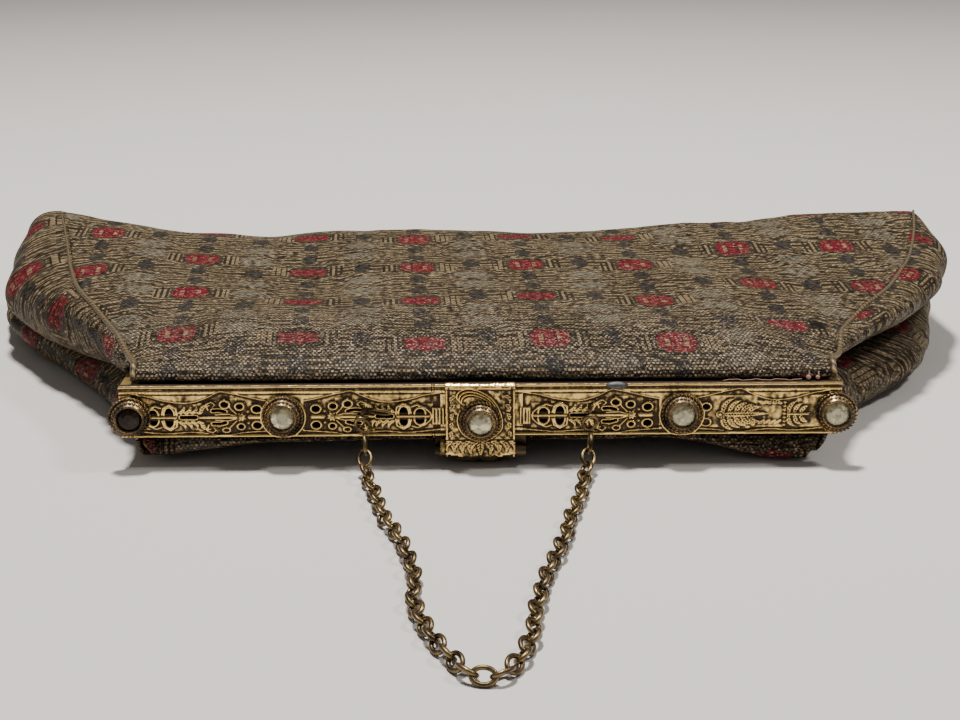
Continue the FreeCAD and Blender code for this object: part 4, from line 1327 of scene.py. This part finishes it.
def bead_ring(count, radius, forward, size, twist=0.0):
    """A ring of small beads, or short slanted strands when twist is given."""
    parts = []
    for i in range(count):
        a = 2 * math.pi * i / count
        centre = np.array([radius * math.cos(a), -forward, radius * math.sin(a)])
        if twist:
            ahead = np.array([-math.sin(a), 0, math.cos(a)]) * size * 1.3
            lean = np.array([math.cos(a), -1.2, math.sin(a)]) * size * twist
            parts.append(tube([centre - ahead - lean, centre, centre + ahead + lean],
                              [size * 0.45, size * 0.75, size * 0.45], 6))
        else:
            parts.append(ball(centre, size, 4, 6))
    return parts


def setting_parts():
    parts = [lathe(SETTING_PROFILE)]
    parts += bead_ring(32, 4.12, 1.12, 0.40, twist=0.8)
    parts += bead_ring(26, 3.55, 2.10, 0.31)
    parts += bead_ring(24, 2.92, 2.94, 0.21)
    return parts


def cut_stone(radius):
    """A round cut stone: flat table, a belt of facets and a shallow pavilion."""
    points, faces = [], []
    for count, share, forward, shift in ((8, 0.50, 3.42, 0.5), (16, 0.82, 3.08, 0.0), (16, 1.0, 2.55, 0.5),
                                         (8, 0.55, 1.95, 0.0)):
        for i in range(count):
            a = 2 * math.pi * (i + shift) / count
            points.append((radius * share * math.cos(a), -forward, radius * share * math.sin(a)))
    faces.append(tuple(range(8)))
    for i in range(8):
        a, b = 8 + 2 * i, 8 + (2 * i + 1) % 16
        c = 8 + (2 * i + 2) % 16
        faces += [(i, a, b), (i, b, c), (i, c, (i + 1) % 8)]
        d, e, f = 24 + 2 * i, 24 + 2 * i + 1, 24 + (2 * i + 2) % 16
        faces += [(a, d, b), (b, d, e), (b, e, c), (c, e, f)]
        g, h = 40 + i, 40 + (i + 1) % 8
        faces += [(d, g, e), (e, g, h), (e, h, f)]
    faces.append(tuple(range(47, 39, -1)))
    return np.array(points), faces


def placed(parts, spot, tilt=(0.0, 0.0)):
    """Parts turned by two small tilts, then set at a place on the strip or clasp."""
    turn = Matrix.Rotation(math.radians(tilt[0]), 3, "Z") @ Matrix.Rotation(math.radians(tilt[1]), 3, "X")
    turn = np.array(turn)
    return [(np.asarray(points) @ turn.T + spot, faces) for points, faces in parts]


def make_settings():
    clasp_face = FRONT - 2.0
    tilts = {"far_left": (7, 2), "mid_left": (0, 1), "mid_right": (-1, -2), "far_right": (-5, -3),
             "clasp": (1, -1)}
    for name, tilt in tilts.items():
        on_clasp = name == "clasp"
        centre = centre_of(f"bezel_{name}")
        spot = np.array([centre.x, clasp_face if on_clasp else FRONT, centre.z])
        body = "clasp" if on_clasp else "front_frame"
        cup = joined(f"setting_{name}", placed(setting_parts(), spot, tilt), SETTING)
        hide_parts(f"bezel_{name}")
        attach(cup, body)
        stone_spot = spot + np.array([0, 0.3, 0])
        material = DARK_STONE if name == "far_left" else STONE
        stone = joined(f"cut_stone_{name}", placed([cut_stone(2.66)], stone_spot, tilt), material,
                       smooth=False)
        # random lightness per cut face: painted reflections of the stone's faces
        facet_reflection_tones = stone.data.attributes.new("facet_reflection", "FLOAT", "FACE")
        facet_reflection_tones.data.foreach_set("value", random.uniform(0, 1, len(stone.data.polygons)))
        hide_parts(f"stone_{name}")
        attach(stone, body)


make_settings()

# ---------------------------------------------------------------- the chain's fastenings

def make_fastenings():
    """The wire eyes, the rings that join the chain to them, and a stretched loop beside the left one."""
    for side, name in ((-1, "left"), (1, "right")):
        x = centre_of(f"chain_ring_{name}").x
        eye = oval_link((x + 0.1, FRONT + 0.1, 12.3), np.array([0.10, 0.97, -0.2]),
                        np.array([0.12, 0, 0.99]),
                        3.0, 3.6, 0.85)
        flat = name == "right"
        ring = oval_link((x, FRONT - 0.9, 9.9 if flat else 9.7), np.array([0.15 * side, -0.42, 0.9]),
                         np.array([0.98, 0.1, -0.1]), 4.9, 3.9, 0.86)
        for piece, parts in ((f"chain_eye_{name}", eye), (f"chain_ring_{name}", ring)):
            obj = joined(f"{piece}_wire", [parts], CHAIN_METAL)
            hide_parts(piece)
            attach(obj, "front_frame")
    loop = oval_link((-21.7, FRONT - 0.75, 12.6), np.array([0.99, -0.12, -0.10]),
                     np.array([0.1, -0.5, 0.86]),
                     5.4, 1.9, 0.72)
    stretched = joined("stretched_loop_wire", [loop], CHAIN_METAL)
    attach(stretched, "front_frame")
    solder_across = 29.3
    blob = joined("solder_lump", [ball((solder_across, FRONT - 0.35, strip_high.z - 0.5), 1.0, 7, 12)], SOLDER)
    squash = Matrix.Diagonal((2.5, 1, 0.85, 1))
    blob.data.transform(Matrix.Translation((solder_across * MM, 0, strip_high.z * MM)) @ squash
                        @ Matrix.Translation((-solder_across * MM, 0, -strip_high.z * MM)))
    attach(blob, "front_frame")


make_fastenings()

# ---------------------------------------------------------------- metal pieces that keep their CAD shape

for node, material in (("front_channel", CHANNEL), ("back_channel", CHANNEL),
                       ("hinge_rivet_left", DARK_METAL), ("hinge_rivet_right", DARK_METAL),
                       ("clasp_bracket", DARK_METAL), ("clasp_hinge_pin", DARK_METAL),
                       ("front_channel_cord", PAPER), ("back_channel_cord", PAPER)):
    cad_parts[node].data.materials.clear()
    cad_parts[node].data.materials.append(material)
